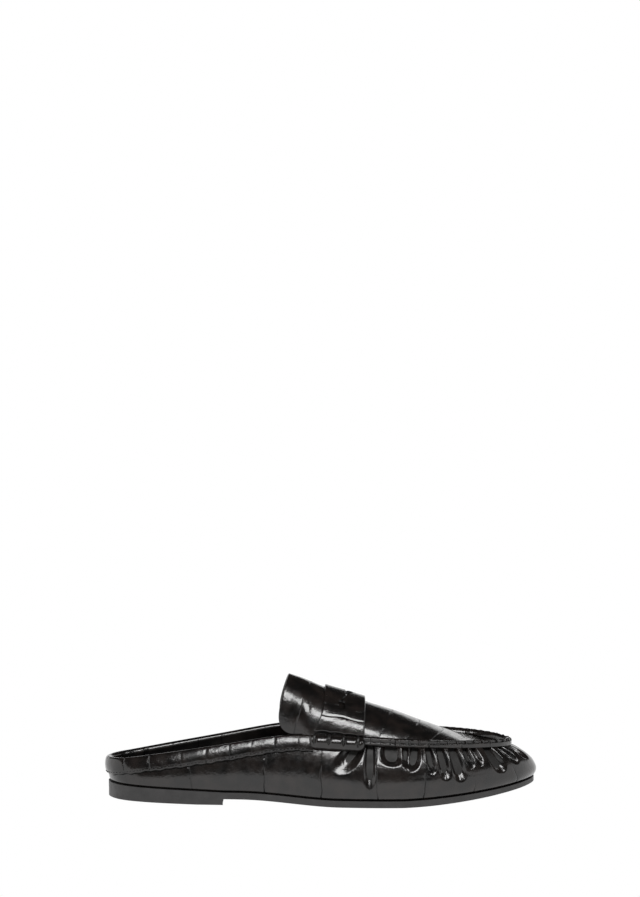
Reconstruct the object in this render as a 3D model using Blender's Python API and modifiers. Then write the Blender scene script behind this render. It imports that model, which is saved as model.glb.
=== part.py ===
"""Right loafer mule in glossy embossed leather: low back, gathered apron toe, saddle strap, flat heel.

The shoe stands on the floor at z = 0, its toe towards +X and its outer side towards -Y.
The origin is on the floor under the middle of the heel. Sizes are in metres.
"""

import math

import bmesh
import bpy
import numpy as np
from mathutils import Vector

# Driving sizes
LENGTH = 0.2545  # back of the heel to the tip of the toe
SOLE_WIDTH = 0.083  # foot line of the upper across the ball
INSTEP_HEIGHT = 0.0738  # floor to the top of the tongue
HEEL_REACH = 0.058  # back of the shoe to the origin
HEEL_LIFT = 0.0034  # floor to the underside of the sole at the heel's front face
HEEL_PITCH = 0.0029  # how much further the back of the sole is lifted
HEEL_BREAST = 0.0709  # back of the shoe to the front face of the heel
HEEL_UNDERCUT = 0.0008  # how far the foot of the heel's front face leans back
HEEL_BEVEL_LENGTH = 0.055  # slight bevel under the back of the heel
HEEL_BEVEL_RISE = 0.0014
SOLE_THICKNESS = 0.0038
SOLE_TAPER = 0.0011  # how much thinner the sole is at the tip of the toe
SOLE_LIP = 0.0008  # how far the sole stands out past the upper's foot line
TOE_SPRING = 0.0088  # floor to the underside of the sole at the toe
INSOLE_THICKNESS = 0.002
UPPER_WALL = 0.0018
COLLAR_WIDTH_BACK = 0.0088  # folded band outside the collar, at the back
COLLAR_WIDTH_THROAT = 0.0103
COLLAR_LINING = 0.0085  # the same band turned down inside
COLLAR_THICKNESS = 0.0009
SEAM_THICKNESS = 0.0026  # rolled apron seam, at its sides
SEAM_STAND = 0.0036  # the same roll where it stands up round the toe
SEAM_BELOW = 0.0032  # how far the roll reaches down the wall
SEAM_ABOVE = 0.0026  # how far it reaches over the apron
STITCHED_ROLL_THICKNESS = 0.0038
STITCHED_ROLL_BELOW = 0.0074
STITCHED_ROLL_ABOVE = 0.0018
STITCHED_ROLL_LENGTH = 0.0320  # along the seam, from the throat
STITCHED_ROLL_BACK = 0.0016  # how far it starts behind the throat
WHIP_STITCHES = 4  # pinches along each stitched roll
STRAP_THICKNESS = 0.0015
STRAP_WIDTH = 0.0233  # on top of the instep
STRAP_FLARE = 0.0081  # how far its back edge runs back at its ends
STRAP_START = 0.5077 * LENGTH  # back of the shoe to the strap's back edge, on the instep
STRAP_STAND = 0.0012  # how far its front edge stands off the apron
SLOT_MIDDLE = 0.5631 * LENGTH  # back of the shoe to the middle of the strap's opening
SLOT_LENGTH = 0.0442  # the opening, across the shoe
SLOT_SWEEP = 0.0038  # how far its ends lie behind its middle
SLOT_SLIT = 0.0009
SLOT_NOTCH = (0.0054, 0.0036)  # across and along
SLOT_DIAMOND = (0.0170, 0.0064)
TONGUE_REACH = 0.0135  # throat to the back of the tongue, on the instep
TONGUE_WINGS = 0.0095  # how much further back its sides reach
TONGUE_LIFT = 0.0028  # its side edges over the collar's edge
FOLD_DEPTH = 0.0033
FOLD_WIDTH = 0.0032
GAP = 0.0003  # between pieces that meet

# Places along the shoe, as shares of LENGTH
WAIST_START, BALL_START, BALL_END = 0.315, 0.545, 0.680
TOE_CURVE = 1.55  # how late the toe spring rises

# One row for each section of the upper, from the back of the heel along the outer side to the toe and back
# along the inner side. Along is a share of LENGTH from the back, across, belly and shoulder are shares of
# SOLE_WIDTH, height is a share of INSTEP_HEIGHT. The foot is the wall's lower edge; the top is the collar or
# the apron seam. Belly and shoulder are how far the lower and the upper wall swell outwards.
SECTION_COLUMNS = ("foot_along", "foot_across", "top_along", "top_across", "top_height", "belly", "shoulder")
SECTIONS = (
    (0.012, 0.000, 0.007, 0.000, 0.310, 0.016, 0.006),
    (0.028, -0.163, 0.025, -0.143, 0.316, 0.018, 0.008),
    (0.065, -0.263, 0.061, -0.211, 0.331, 0.024, 0.018),
    (0.130, -0.323, 0.127, -0.256, 0.367, 0.029, 0.027),
    (0.216, -0.353, 0.212, -0.287, 0.413, 0.031, 0.029),
    (0.314, -0.381, 0.310, -0.304, 0.469, 0.036, 0.031),
    (0.403, -0.413, 0.401, -0.320, 0.519, 0.043, 0.036),
    (0.477, -0.446, 0.477, -0.342, 0.530, 0.054, 0.042),
    (0.554, -0.481, 0.554, -0.359, 0.514, 0.070, 0.050),
    (0.629, -0.499, 0.629, -0.369, 0.496, 0.080, 0.058),
    (0.695, -0.493, 0.694, -0.366, 0.482, 0.082, 0.063),
    (0.758, -0.464, 0.749, -0.349, 0.472, 0.080, 0.067),
    (0.821, -0.410, 0.800, -0.316, 0.461, 0.076, 0.072),
    (0.877, -0.337, 0.845, -0.263, 0.450, 0.076, 0.080),
    (0.925, -0.241, 0.884, -0.188, 0.439, 0.078, 0.092),
    (0.966, -0.114, 0.915, -0.096, 0.428, 0.083, 0.106),
    (0.991, 0.066, 0.932, 0.030, 0.416, 0.089, 0.118),
    (0.979, 0.223, 0.920, 0.151, 0.420, 0.083, 0.109),
    (0.946, 0.340, 0.893, 0.239, 0.431, 0.076, 0.095),
    (0.898, 0.417, 0.852, 0.299, 0.443, 0.072, 0.081),
    (0.839, 0.464, 0.804, 0.335, 0.456, 0.068, 0.072),
    (0.772, 0.482, 0.749, 0.354, 0.469, 0.066, 0.066),
    (0.703, 0.469, 0.694, 0.361, 0.482, 0.064, 0.060),
    (0.633, 0.427, 0.629, 0.359, 0.496, 0.062, 0.054),
    (0.556, 0.366, 0.554, 0.352, 0.514, 0.060, 0.048),
    (0.477, 0.320, 0.477, 0.336, 0.530, 0.056, 0.042),
    (0.403, 0.304, 0.401, 0.317, 0.521, 0.050, 0.037),
    (0.314, 0.313, 0.310, 0.298, 0.470, 0.042, 0.031),
    (0.216, 0.335, 0.212, 0.281, 0.411, 0.034, 0.029),
    (0.130, 0.318, 0.127, 0.252, 0.363, 0.029, 0.027),
    (0.065, 0.263, 0.061, 0.210, 0.327, 0.024, 0.018),
    (0.028, 0.163, 0.025, 0.143, 0.314, 0.018, 0.008),
)
THROAT_OUTER, TOE, THROAT_INNER, ROUND = 7, 16, 25, 32  # rows of SECTIONS where the apron starts and turns

# Ridge of the instep: along as a share of LENGTH, height as a share of INSTEP_HEIGHT
INSTEP_COLUMNS = ("along", "height")
INSTEP = (
    (0.393, 1.030),
    (0.417, 0.997),
    (0.460, 0.946),
    (0.499, 0.889),
    (0.554, 0.824),
    (0.609, 0.753),
    (0.668, 0.688),
    (0.719, 0.621),
    (0.766, 0.560),
    (0.813, 0.494),
    (0.853, 0.449),
    (0.896, 0.424),
    (0.936, 0.420),
)
ARCH_ROUNDNESS = 0.13  # how far in the flanks of the instep stay steep, as a share of its width

# Gathers under the apron seam. Row is where the gather starts, in rows of SECTIONS, slant is how many rows its
# foot has moved on, reach is a share of the wall's height, depth of FOLD_DEPTH and width of FOLD_WIDTH.
FOLD_COLUMNS = ("row", "slant", "reach", "depth", "width")
FOLDS = (
    (8.52, -1.07, 0.62, 0.80, 1.45),
    (8.78, -0.05, 0.84, 1.15, 0.90),
    (9.41, 0.15, 0.48, 1.05, 1.45),
    (9.95, 0.00, 0.50, 0.80, 0.85),
    (10.38, -0.40, 0.54, 0.95, 1.05),
    (10.86, 0.12, 0.60, 0.95, 0.85),
    (11.36, 0.08, 0.70, 1.05, 0.95),
    (11.95, 0.00, 0.76, 1.10, 1.10),
    (12.55, -0.15, 0.54, 0.80, 0.85),
    (13.05, -0.15, 0.50, 0.75, 0.85),
    (13.75, 0.00, 0.68, 1.10, 1.35),
    (14.60, 0.10, 0.55, 0.80, 0.95),
    (15.40, 0.10, 0.50, 0.65, 0.90),
    (16.30, 0.00, 0.55, 0.75, 0.95),
    (17.10, -0.05, 0.50, 0.80, 0.90),
    (17.90, -0.10, 0.62, 1.00, 1.15),
    (18.65, 0.15, 0.52, 0.80, 0.85),
    (19.20, -0.10, 0.66, 1.05, 0.95),
    (19.85, 0.10, 0.74, 1.10, 1.05),
    (20.45, -0.15, 0.56, 0.85, 0.85),
    (20.95, 0.20, 0.50, 0.90, 0.95),
    (21.50, -0.05, 0.62, 0.95, 0.85),
    (22.05, 0.30, 0.55, 1.00, 1.15),
    (22.65, -0.10, 0.48, 0.80, 0.85),
    (23.20, 0.05, 0.82, 1.10, 0.90),
    (23.48, 1.05, 0.60, 0.75, 1.45),
)

# How finely the solids are faceted
REAR_STEPS, FRONT_STEPS, PLAN_STEPS = 2, 7, 3  # columns for each row of SECTIONS
WALL_SHARES = (0.0, 0.20, 0.40, 0.56, 0.69, 0.81, 0.915, 1.0)
RIB_SHARES = (0.0, 0.01, 0.045, 0.14, 0.28, 0.41, 0.50, 0.59, 0.72, 0.86, 0.955, 0.99, 1.0)
TONGUE_ROWS = 4
UP = np.array((0.0, 0.0, 1.0))


def smooth_curve(knots, values, closed=False):
    """A cubic curve through one row of values for each knot, with no break in its bend."""
    knots, values = np.asarray(knots, float), np.asarray(values, float)
    count, gaps = len(knots), np.diff(knots)
    rises = np.diff(values, axis=0) / gaps[:, None]
    matrix, right = np.zeros((count, count)), np.zeros(values.shape)
    for i in range(1, count - 1):
        matrix[i, i - 1 : i + 2] = gaps[i], 2 * (gaps[i - 1] + gaps[i]), gaps[i - 1]
        right[i] = 3 * (gaps[i] * rises[i - 1] + gaps[i - 1] * rises[i])
    if closed:
        matrix[0, 0], matrix[0, 1], matrix[0, -2] = 2 * (gaps[-1] + gaps[0]), gaps[-1], gaps[0]
        right[0] = 3 * (gaps[0] * rises[-1] + gaps[-1] * rises[0])
        matrix[-1, 0], matrix[-1, -1] = 1, -1
    else:
        matrix[0, :2], right[0] = (2, 1), 3 * rises[0]
        matrix[-1, -2:], right[-1] = (1, 2), 3 * rises[-1]
    slopes = np.linalg.solve(matrix, right)

    def at(place):
        place = np.asarray(place, float)
        if closed:
            place = knots[0] + (place - knots[0]) % (knots[-1] - knots[0])
        i = np.clip(np.searchsorted(knots, place, side="right") - 1, 0, count - 2)
        t, h = ((place - knots[i]) / gaps[i])[..., None], gaps[i][..., None]
        return (
            values[i] * (1 + 2 * t) * (1 - t) ** 2
            + slopes[i] * h * t * (1 - t) ** 2
            + values[i + 1] * t**2 * (3 - 2 * t)
            + slopes[i + 1] * h * t**2 * (t - 1)
        )

    return at


def section_curves():
    """The wall's foot, top, belly and shoulder as one closed curve over the rows of SECTIONS, in metres."""
    table = dict(zip(SECTION_COLUMNS, np.array(SECTIONS).T))
    columns = (
        table["foot_along"] * LENGTH - HEEL_REACH,
        table["foot_across"] * SOLE_WIDTH,
        table["top_along"] * LENGTH - HEEL_REACH,
        table["top_across"] * SOLE_WIDTH,
        table["top_height"] * INSTEP_HEIGHT,
        table["belly"] * SOLE_WIDTH,
        table["shoulder"] * SOLE_WIDTH,
    )
    values = np.array(columns).T
    return smooth_curve(range(ROUND + 1), np.vstack([values, values[:1]]), closed=True)


def instep_curve():
    """Height of the instep's ridge over x, in metres."""
    table = dict(zip(INSTEP_COLUMNS, np.array(INSTEP).T))
    return smooth_curve(table["along"] * LENGTH - HEEL_REACH, table["height"][:, None] * INSTEP_HEIGHT)


sections = section_curves()
instep = instep_curve()


def unit(vectors):
    return vectors / np.linalg.norm(vectors, axis=-1, keepdims=True)


def sole_rise(x):
    """Height of the sole's underside over the floor: lifted by the heel, flat at the ball, sprung at the toe."""
    along = (x + HEEL_REACH) / LENGTH
    heel = np.clip(1 - along * LENGTH / HEEL_BREAST, 0, 1)
    waist = np.clip((BALL_START - along) / (BALL_START - WAIST_START), 0, 1)
    lifted = HEEL_PITCH * heel + HEEL_LIFT * waist**2 * (3 - 2 * waist)
    return lifted + TOE_SPRING * toe_share(x) ** TOE_CURVE


def toe_share(x):
    """From 0 where the sole leaves the floor to 1 at the tip of the toe."""
    return np.clip(((x + HEEL_REACH) / LENGTH - BALL_END) / (1 - BALL_END), 0, 1)


def seat_height(x):
    """Height of the sole's upper face."""
    return sole_rise(x) + SOLE_THICKNESS - SOLE_TAPER * toe_share(x) ** 2


def foot_line(row, offset=0.0):
    """Plan of the wall's lower edge, moved outwards by offset, with its outward direction."""
    step = 0.01
    row = np.asarray(row, float)
    point = sections(row)[..., :2]
    along = sections(row + step)[..., :2] - sections(row - step)[..., :2]
    outward = unit(np.stack([along[..., 1], -along[..., 0]], axis=-1))
    if float(sections(TOE)[0]) < float(sections(0)[0]):
        outward = -outward
    return point + outward * offset, outward


def fold_depth(row, share):
    """How deep the gathers press into the wall at a row and at a share of its height."""
    depth = np.zeros(np.broadcast(row, share).shape)
    for fold in FOLDS:
        start, slant, reach, deep, width = fold
        down = np.clip((1 - share) / reach, 0, 1)
        centre = start + slant * (1 - share)
        spread = FOLD_WIDTH * width * (0.75 + 0.6 * down) / ROW_SPACING
        across = np.exp(-(((row - centre) / spread) ** 2))
        fade = (1 - down**2) ** 1.5 * (0.55 + 0.9 * down)
        depth = depth + FOLD_DEPTH * deep * across * fade
    return depth


def smooth_wall(row, share):
    """A point of the wall before it is gathered: share 0 is the foot line and 1 the collar or the apron seam."""
    row, share = np.broadcast_arrays(np.asarray(row, float), np.asarray(share, float))
    values = sections(row)
    foot_plan, outward = foot_line(row)
    outward = np.concatenate([outward, np.zeros(outward.shape[:-1] + (1,))], axis=-1)
    foot = np.concatenate([foot_plan, (seat_height(foot_plan[..., 0]) + GAP)[..., None]], axis=-1)
    top = values[..., 2:5]
    height = (top[..., 2] - foot[..., 2])[..., None] * UP
    low = foot + outward * values[..., 5:6] + 0.33 * height
    high = top + outward * values[..., 6:7] - 0.18 * height
    s = share[..., None]
    return foot * (1 - s) ** 3 + 3 * low * s * (1 - s) ** 2 + 3 * high * s**2 * (1 - s) + top * s**3


def normal_of(surface, a, b, step_a, step_b):
    """Outward direction of a surface of two values, from its slopes."""
    along = surface(a + step_a, b) - surface(a - step_a, b)
    up = surface(a, b + step_b) - surface(a, b - step_b)
    return unit(np.cross(along, up))


def wall_normal(row, share):
    share = np.clip(share, 0.01, 0.99)
    return normal_of(smooth_wall, np.asarray(row, float), share, 0.02, 0.01)


def wall(row, share):
    """The gathered wall."""
    return smooth_wall(row, share) - wall_normal(row, share) * fold_depth(row, share)[..., None]


def arch(outer, inner, ridge, share):
    """A rib over the foot from the outer to the inner seam, its middle at the height of the ridge."""
    lift = ((ridge - (outer[..., 2] + inner[..., 2]) / 2) / 0.75)[..., None] * UP
    low = outer + (inner - outer) * ARCH_ROUNDNESS + lift
    high = inner + (outer - inner) * ARCH_ROUNDNESS + lift
    s = share[..., None]
    return outer * (1 - s) ** 3 + 3 * low * s * (1 - s) ** 2 + 3 * high * s**2 * (1 - s) + inner * s**3


def seam_ends(station):
    """The two ends of the apron's rib at a station from 0 at the throat to 1 at the toe."""
    outer = sections(THROAT_OUTER + station * (TOE - THROAT_OUTER))[..., 2:5]
    inner = sections(THROAT_INNER + station * (TOE - THROAT_INNER))[..., 2:5]
    return outer, inner


def apron(station, share):
    """A point of the apron: share runs from the outer to the inner seam."""
    station, share = np.broadcast_arrays(np.asarray(station, float), np.asarray(share, float))
    outer, inner = seam_ends(station)
    middle = (outer[..., 0] + inner[..., 0]) / 2
    return arch(outer, inner, instep(middle)[..., 0], share)


def tongue(back, share):
    """A point of the tongue, which carries the apron's arch on behind the throat."""
    back, share = np.broadcast_arrays(np.asarray(back, float), np.asarray(share, float))
    outer, inner = seam_ends(np.zeros(back.shape))
    lift = TONGUE_LIFT * (1 - np.exp(-back / 0.0013)) + 0.03 * back
    shift = np.stack([-back, 0.37 * back, lift], axis=-1)
    outer = outer + shift
    inner = inner + shift * (1, -1, 1)
    return arch(outer, inner, instep(outer[..., 0])[..., 0], share)


def tongue_reach(share):
    """How far the tongue reaches back behind the throat at a share of its width."""
    side = np.abs(2 * np.asarray(share, float) - 1)
    return (TONGUE_REACH + TONGUE_WINGS * side**2) * (1 - side**8) ** 0.25


def mean_row_spacing():
    """Length of the apron seam for each row of SECTIONS, at the ball."""
    ends = sections(np.array([THROAT_OUTER + 1, THROAT_OUTER + 5]))[:, 2:5]
    return float(np.linalg.norm(ends[1] - ends[0])) / 4


ROW_SPACING = mean_row_spacing()


def material(name, colour, roughness, coat=0.0):
    made = bpy.data.materials.new(name)
    made.use_nodes = True
    shader = made.node_tree.nodes["Principled BSDF"]
    shader.inputs["Base Color"].default_value = (*colour, 1.0)
    shader.inputs["Roughness"].default_value = roughness
    shader.inputs["Metallic"].default_value = 0.0
    shader.inputs["Coat Weight"].default_value = coat
    made.diffuse_color = (*colour, 1.0)
    return made


def add_object(name, points, faces, finish, collection):
    """A mesh object from points and faces, its faces turned outwards together."""
    mesh = bpy.data.meshes.new(name)
    mesh.from_pydata([tuple(p) for p in points], [], faces)
    mesh.validate()
    bm = bmesh.new()
    bm.from_mesh(mesh)
    bmesh.ops.recalc_face_normals(bm, faces=bm.faces)
    bm.to_mesh(mesh)
    bm.free()
    mesh.materials.append(finish)
    mesh.shade_smooth()
    made = bpy.data.objects.new(name, mesh)
    collection.objects.link(made)
    return made


def turn_faces(obj, towards):
    """Turns an open sheet over if its first face looks away from a direction."""
    if obj.data.polygons[0].normal.dot(Vector(towards)) < 0:
        obj.data.flip_normals()


def thicken(obj, thickness, outwards):
    """Gives an open sheet its thickness, on the side its faces look to or on the other."""
    solid = obj.modifiers.new("thickness", "SOLIDIFY")
    solid.thickness = thickness
    solid.offset = 1.0 if outwards else -1.0
    solid.use_even_offset = True
    solid.thickness_clamp = 0.0
    return solid


def grid_faces(columns, rows, closed=False):
    """Four-sided faces of a grid whose points are listed column by column."""
    last = columns if closed else columns - 1
    return [
        (c * rows + r, (c + 1) % columns * rows + r, (c + 1) % columns * rows + r + 1, c * rows + r + 1)
        for c in range(last)
        for r in range(rows - 1)
    ]


def upper_columns():
    """Rows of SECTIONS where the wall has a column: coarse round the collar, fine along the gathers."""
    front_count = (THROAT_INNER - THROAT_OUTER) * FRONT_STEPS
    rear_count = (ROUND - THROAT_INNER + THROAT_OUTER) * REAR_STEPS
    front = np.linspace(THROAT_OUTER, THROAT_INNER, front_count, endpoint=False)
    rear = np.linspace(THROAT_INNER, ROUND + THROAT_OUTER, rear_count, endpoint=False)
    return np.concatenate([front, rear]), front_count


def make_upper(finish, collection):
    """Wall, apron and tongue as one sheet, thickened inwards: open at the collar and underneath."""
    columns, front_count = upper_columns()
    rows = len(WALL_SHARES)
    grid_rows, grid_shares = np.meshgrid(columns, WALL_SHARES, indexing="ij")
    points = list(wall(grid_rows, grid_shares).reshape(-1, 3))
    faces = grid_faces(len(columns), rows, closed=True)

    def seam_point(column):
        return column * rows + rows - 1

    inner_shares = np.array(RIB_SHARES[1:-1])
    ribs = []
    for i in range(front_count // 2):
        first = len(points)
        points.extend(apron(i * 2 / front_count, inner_shares))
        middle = list(range(first, len(points)))
        ribs.append([seam_point(i), *middle, seam_point(front_count - i)])
    toe = seam_point(front_count // 2)
    for before, after in zip(ribs, ribs[1:]):
        faces += [(before[k], before[k + 1], after[k + 1], after[k]) for k in range(len(before) - 1)]
    faces += [(ribs[-1][k], ribs[-1][k + 1], toe) for k in range(len(ribs[-1]) - 1)]

    before = ribs[0]
    for i in range(1, TONGUE_ROWS + 1):
        first = len(points)
        points.extend(tongue(tongue_reach(inner_shares) * i / TONGUE_ROWS, inner_shares))
        after = [before[0], *range(first, len(points)), before[-1]]
        for k in range(len(before) - 1):
            corners = [before[k], after[k], after[k + 1], before[k + 1]]
            faces.append(tuple(dict.fromkeys(corners)))
        before = after
    upper = add_object("upper", points, faces, finish, collection)
    turn_faces(upper, (0, -1, 0))
    thicken(upper, UPPER_WALL, outwards=False)
    return upper


def plan_solid(name, offset, low, high, finish, collection):
    """A slab under the whole foot line: its faces run straight from side to side between two heights over x."""
    count = ROUND * PLAN_STEPS
    plan, _ = foot_line(np.linspace(0, ROUND, count, endpoint=False), offset)
    sheets = [np.column_stack([plan, height(plan[:, 0])]) for height in (low, high)]
    half = count // 2
    across = [(0, 1, count - 1), (half - 1, half, half + 1)]
    across += [(i, i + 1, count - i - 1, count - i) for i in range(1, half - 1)]
    faces = [tuple(count * level + i for i in face) for face in across for level in (0, 1)]
    faces += [(i, (i + 1) % count, (i + 1) % count + count, i + count) for i in range(count)]
    slab = add_object(name, np.concatenate(sheets), faces, finish, collection)
    slab.data.set_sharp_from_angle(angle=math.radians(40))
    return slab


def make_outsole(finish, collection):
    return plan_solid("outsole", SOLE_LIP, sole_rise, seat_height, finish, collection)


def make_insole(finish, collection):
    """Footbed inside the wall, on the sole."""

    def underside(x):
        return seat_height(x) + GAP

    def top(x):
        return underside(x) + INSOLE_THICKNESS

    return plan_solid("insole", -(UPPER_WALL + GAP), underside, top, finish, collection)


def make_heel(finish, collection):
    """Low wedge under the sole's back, with a straight front face and a slight bevel at the back."""
    breast = HEEL_BREAST - HEEL_REACH
    rows = np.linspace(THROAT_INNER, ROUND + THROAT_OUTER, 1 + 6 * (ROUND - THROAT_INNER + THROAT_OUTER))
    plan, _ = foot_line(rows, SOLE_LIP / 2)
    plan = plan[plan[:, 0] < breast]
    edge_inner, edge_outer = plan[0], plan[-1]
    outline = [(breast, edge_inner[1]), *map(tuple, plan), (breast, edge_outer[1])]
    bm = bmesh.new()
    floor = bm.faces.new([bm.verts.new((x, y, 0.0)) for x, y in outline])
    raised = bmesh.ops.extrude_face_region(bm, geom=[floor])["geom"]
    for vert in (g for g in raised if isinstance(g, bmesh.types.BMVert)):
        vert.co.z = float(sole_rise(vert.co.x)) - GAP
    for vert in bm.verts:
        if vert.co.z == 0.0 and vert.co.x > breast - GAP:
            vert.co.x -= HEEL_UNDERCUT
    start = Vector((HEEL_BEVEL_LENGTH - HEEL_REACH, 0, 0))
    slope = Vector((HEEL_BEVEL_RISE, 0, HEEL_BEVEL_LENGTH))
    cut = bmesh.ops.bisect_plane(
        bm, geom=bm.verts[:] + bm.edges[:] + bm.faces[:], plane_co=start, plane_no=-slope, clear_outer=True
    )
    edges = [g for g in cut["geom_cut"] if isinstance(g, bmesh.types.BMEdge)]
    bmesh.ops.contextual_create(bm, geom=edges)
    bmesh.ops.recalc_face_normals(bm, faces=bm.faces)
    mesh = bpy.data.meshes.new("heel")
    bm.to_mesh(mesh)
    bm.free()
    mesh.materials.append(finish)
    heel = bpy.data.objects.new("heel", mesh)
    collection.objects.link(heel)
    return heel


def make_collar_band(finish, collection):
    """Band folded over the collar's edge: down its outside, over the top and down its inside."""
    clear = (STITCHED_ROLL_BACK + 4 * GAP) / ROW_SPACING
    start, end = THROAT_INNER + clear, ROUND + THROAT_OUTER - clear
    rows = np.linspace(start, end, 1 + REAR_STEPS * (ROUND - THROAT_INNER + THROAT_OUTER))
    foot, top = smooth_wall(rows, 0.0), smooth_wall(rows, 1.0)
    slant = np.linalg.norm(top - foot, axis=-1)
    outward = wall_normal(rows, 1.0)
    forward = np.clip((top[:, 0] + HEEL_REACH) / (0.3 * LENGTH), 0, 1)
    width = COLLAR_WIDTH_BACK + (COLLAR_WIDTH_THROAT - COLLAR_WIDTH_BACK) * forward
    strips = []
    for share in (1.0, 0.5, 0.0):
        level = 1 - share * width / slant
        strips.append(smooth_wall(rows, level) + wall_normal(rows, level) * GAP)
    edge = unit(top - smooth_wall(rows, 0.97))
    strips.append(top + edge * GAP + outward * GAP)
    strips.append(top + edge * GAP - outward * (UPPER_WALL + GAP))
    for share in (0.0, 0.5, 1.0):
        level = 1 - share * COLLAR_LINING / slant
        strips.append(smooth_wall(rows, level) - wall_normal(rows, level) * (UPPER_WALL + GAP))
    strips = [strips[i] for i in (0, 1, 3, 4, 6, 7)]
    points = np.stack(strips, axis=1).reshape(-1, 3)
    faces = grid_faces(len(rows), len(strips))
    band = add_object("collar_band", points, faces, finish, collection)
    turn_faces(band, (0, 1, 0))
    thicken(band, COLLAR_THICKNESS, outwards=True)
    return band


def seam_frame(row):
    """At a row of the seam: its point, the way down the wall, the way in over the apron, and the two normals."""
    station = np.where(
        row <= TOE, (row - THROAT_OUTER) / (TOE - THROAT_OUTER), (THROAT_INNER - row) / (THROAT_INNER - TOE)
    )
    outer, inner = seam_ends(station)
    point = smooth_wall(row, 1.0)
    down = unit(smooth_wall(row, 0.96) - point)
    middle = (outer[..., 0] + inner[..., 0]) / 2
    lift = (instep(middle)[..., 0] - (outer[..., 2] + inner[..., 2]) / 2) / 0.75
    reach = np.linalg.norm(inner - outer, axis=-1) * ARCH_ROUNDNESS + 0.004
    step = 0.02
    along = unit(smooth_wall(row + step, 1.0) - smooth_wall(row - step, 1.0))
    sideways = unit(np.cross(UP, along))
    over = unit(sideways * reach[..., None] + UP * lift[..., None])
    wall_out = unit(np.cross(along, -down))
    apron_out = unit(np.cross(along, over))
    return point, down, over, wall_out, apron_out


def seam_roll(name, first, last, steps, sizes, finish, collection):
    """A rolled strip along the seam from one row to another: sizes gives how far it reaches down the wall and
    over the apron and how thick it is, at each row."""
    rows = np.linspace(first, last, steps + 1)
    point, down, over, wall_out, apron_out = seam_frame(rows)
    below, above, thick = (size[:, None] for size in sizes(rows))
    ridge_out = unit(wall_out + apron_out)
    low = point + down * below + wall_out * GAP
    high = point + over * above + apron_out * GAP
    ring = [low, point + ridge_out * (2 * GAP), high]
    roof = ((0.06, 0.42), (0.24, 0.88), (0.50, 1.00), (0.76, 0.88), (0.94, 0.42))
    for share, lift in roof:
        ring.append(high * (1 - share) + low * share + ridge_out * (thick * lift + GAP))
    size = len(ring)
    points = np.stack(ring, axis=1).reshape(-1, 3)
    faces = []
    for i in range(steps):
        for k in range(size):
            corner, beside = i * size + k, i * size + (k + 1) % size
            faces.append((corner, beside, beside + size, corner + size))
    faces.append(tuple(range(size)))
    faces.append(tuple(range(len(points) - size, len(points))))
    return add_object(name, points, faces, finish, collection)


def stitched_roll_rows():
    """How many rows of SECTIONS each stitched roll reaches in front of the throat."""
    rows = np.linspace(0, 4, 401)
    path = sections(THROAT_OUTER + rows)[:, 2:5]
    run = np.concatenate([[0], np.cumsum(np.linalg.norm(np.diff(path, axis=0), axis=1))])
    return float(np.interp(STITCHED_ROLL_LENGTH, run, rows))


def make_seam_rolls(finish, collection):
    """The rolled seam round the apron's toe and the two thicker whip-stitched rolls at the strap's ends."""
    covered = stitched_roll_rows()
    spacing = GAP / ROW_SPACING

    def seam_sizes(rows):
        toe_share = np.clip(1.6 - np.abs(rows - TOE) / 4.0, 0, 1)
        toe_share = toe_share**2 * (3 - 2 * toe_share)
        thick = SEAM_THICKNESS + (SEAM_STAND - SEAM_THICKNESS) * toe_share
        narrow = 1 - 0.25 * toe_share
        return SEAM_BELOW * narrow, SEAM_ABOVE * narrow, thick

    behind = STITCHED_ROLL_BACK / ROW_SPACING

    def stitched_sizes(rows):
        from_throat = np.where(rows < TOE, rows - THROAT_OUTER, THROAT_INNER - rows)
        share = (from_throat + behind) / (covered + behind)
        plump = 0.80 + 0.20 * np.abs(np.sin(math.pi * share * WHIP_STITCHES))
        rounded = np.sqrt(np.clip(1 - np.abs(2 * share - 1) ** 10, 0.12, 1))
        size = plump * rounded
        return STITCHED_ROLL_BELOW * rounded, STITCHED_ROLL_ABOVE * rounded, STITCHED_ROLL_THICKNESS * size

    first, last = THROAT_OUTER + covered + spacing, THROAT_INNER - covered - spacing
    seam_roll("apron_seam", first, last, 58, seam_sizes, finish, collection)
    ends = (
        ("stitched_roll_outer", THROAT_OUTER - behind, THROAT_OUTER + covered),
        ("stitched_roll_inner", THROAT_INNER - covered, THROAT_INNER + behind),
    )
    for name, start, end in ends:
        seam_roll(name, start, end, WHIP_STITCHES * 4, stitched_sizes, finish, collection)


def station_of(x):
    """Station of the apron whose rib crosses the middle at x."""
    stations = np.linspace(0, 1, 201)
    outer, inner = seam_ends(stations)
    return np.interp(x, (outer[:, 0] + inner[:, 0]) / 2, stations)


def rib_share_above_seam(distance, x):
    """Share of a rib that lies a distance over the seam."""
    shares = np.linspace(0, 0.3, 301)
    path = apron(station_of(x), shares)
    run = np.concatenate([[0], np.cumsum(np.linalg.norm(np.diff(path, axis=0), axis=1))])
    return float(np.interp(distance, run, shares))


def strap_point(along, share):
    """A point under the strap: along runs from its back to its front edge, share over the foot."""
    side = np.abs(2 * share - 1)
    back = STRAP_START - STRAP_FLARE * side**4.4
    front = STRAP_START + STRAP_WIDTH
    x = back + (front - back) * along - HEEL_REACH
    return apron(station_of(x), share)


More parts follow.
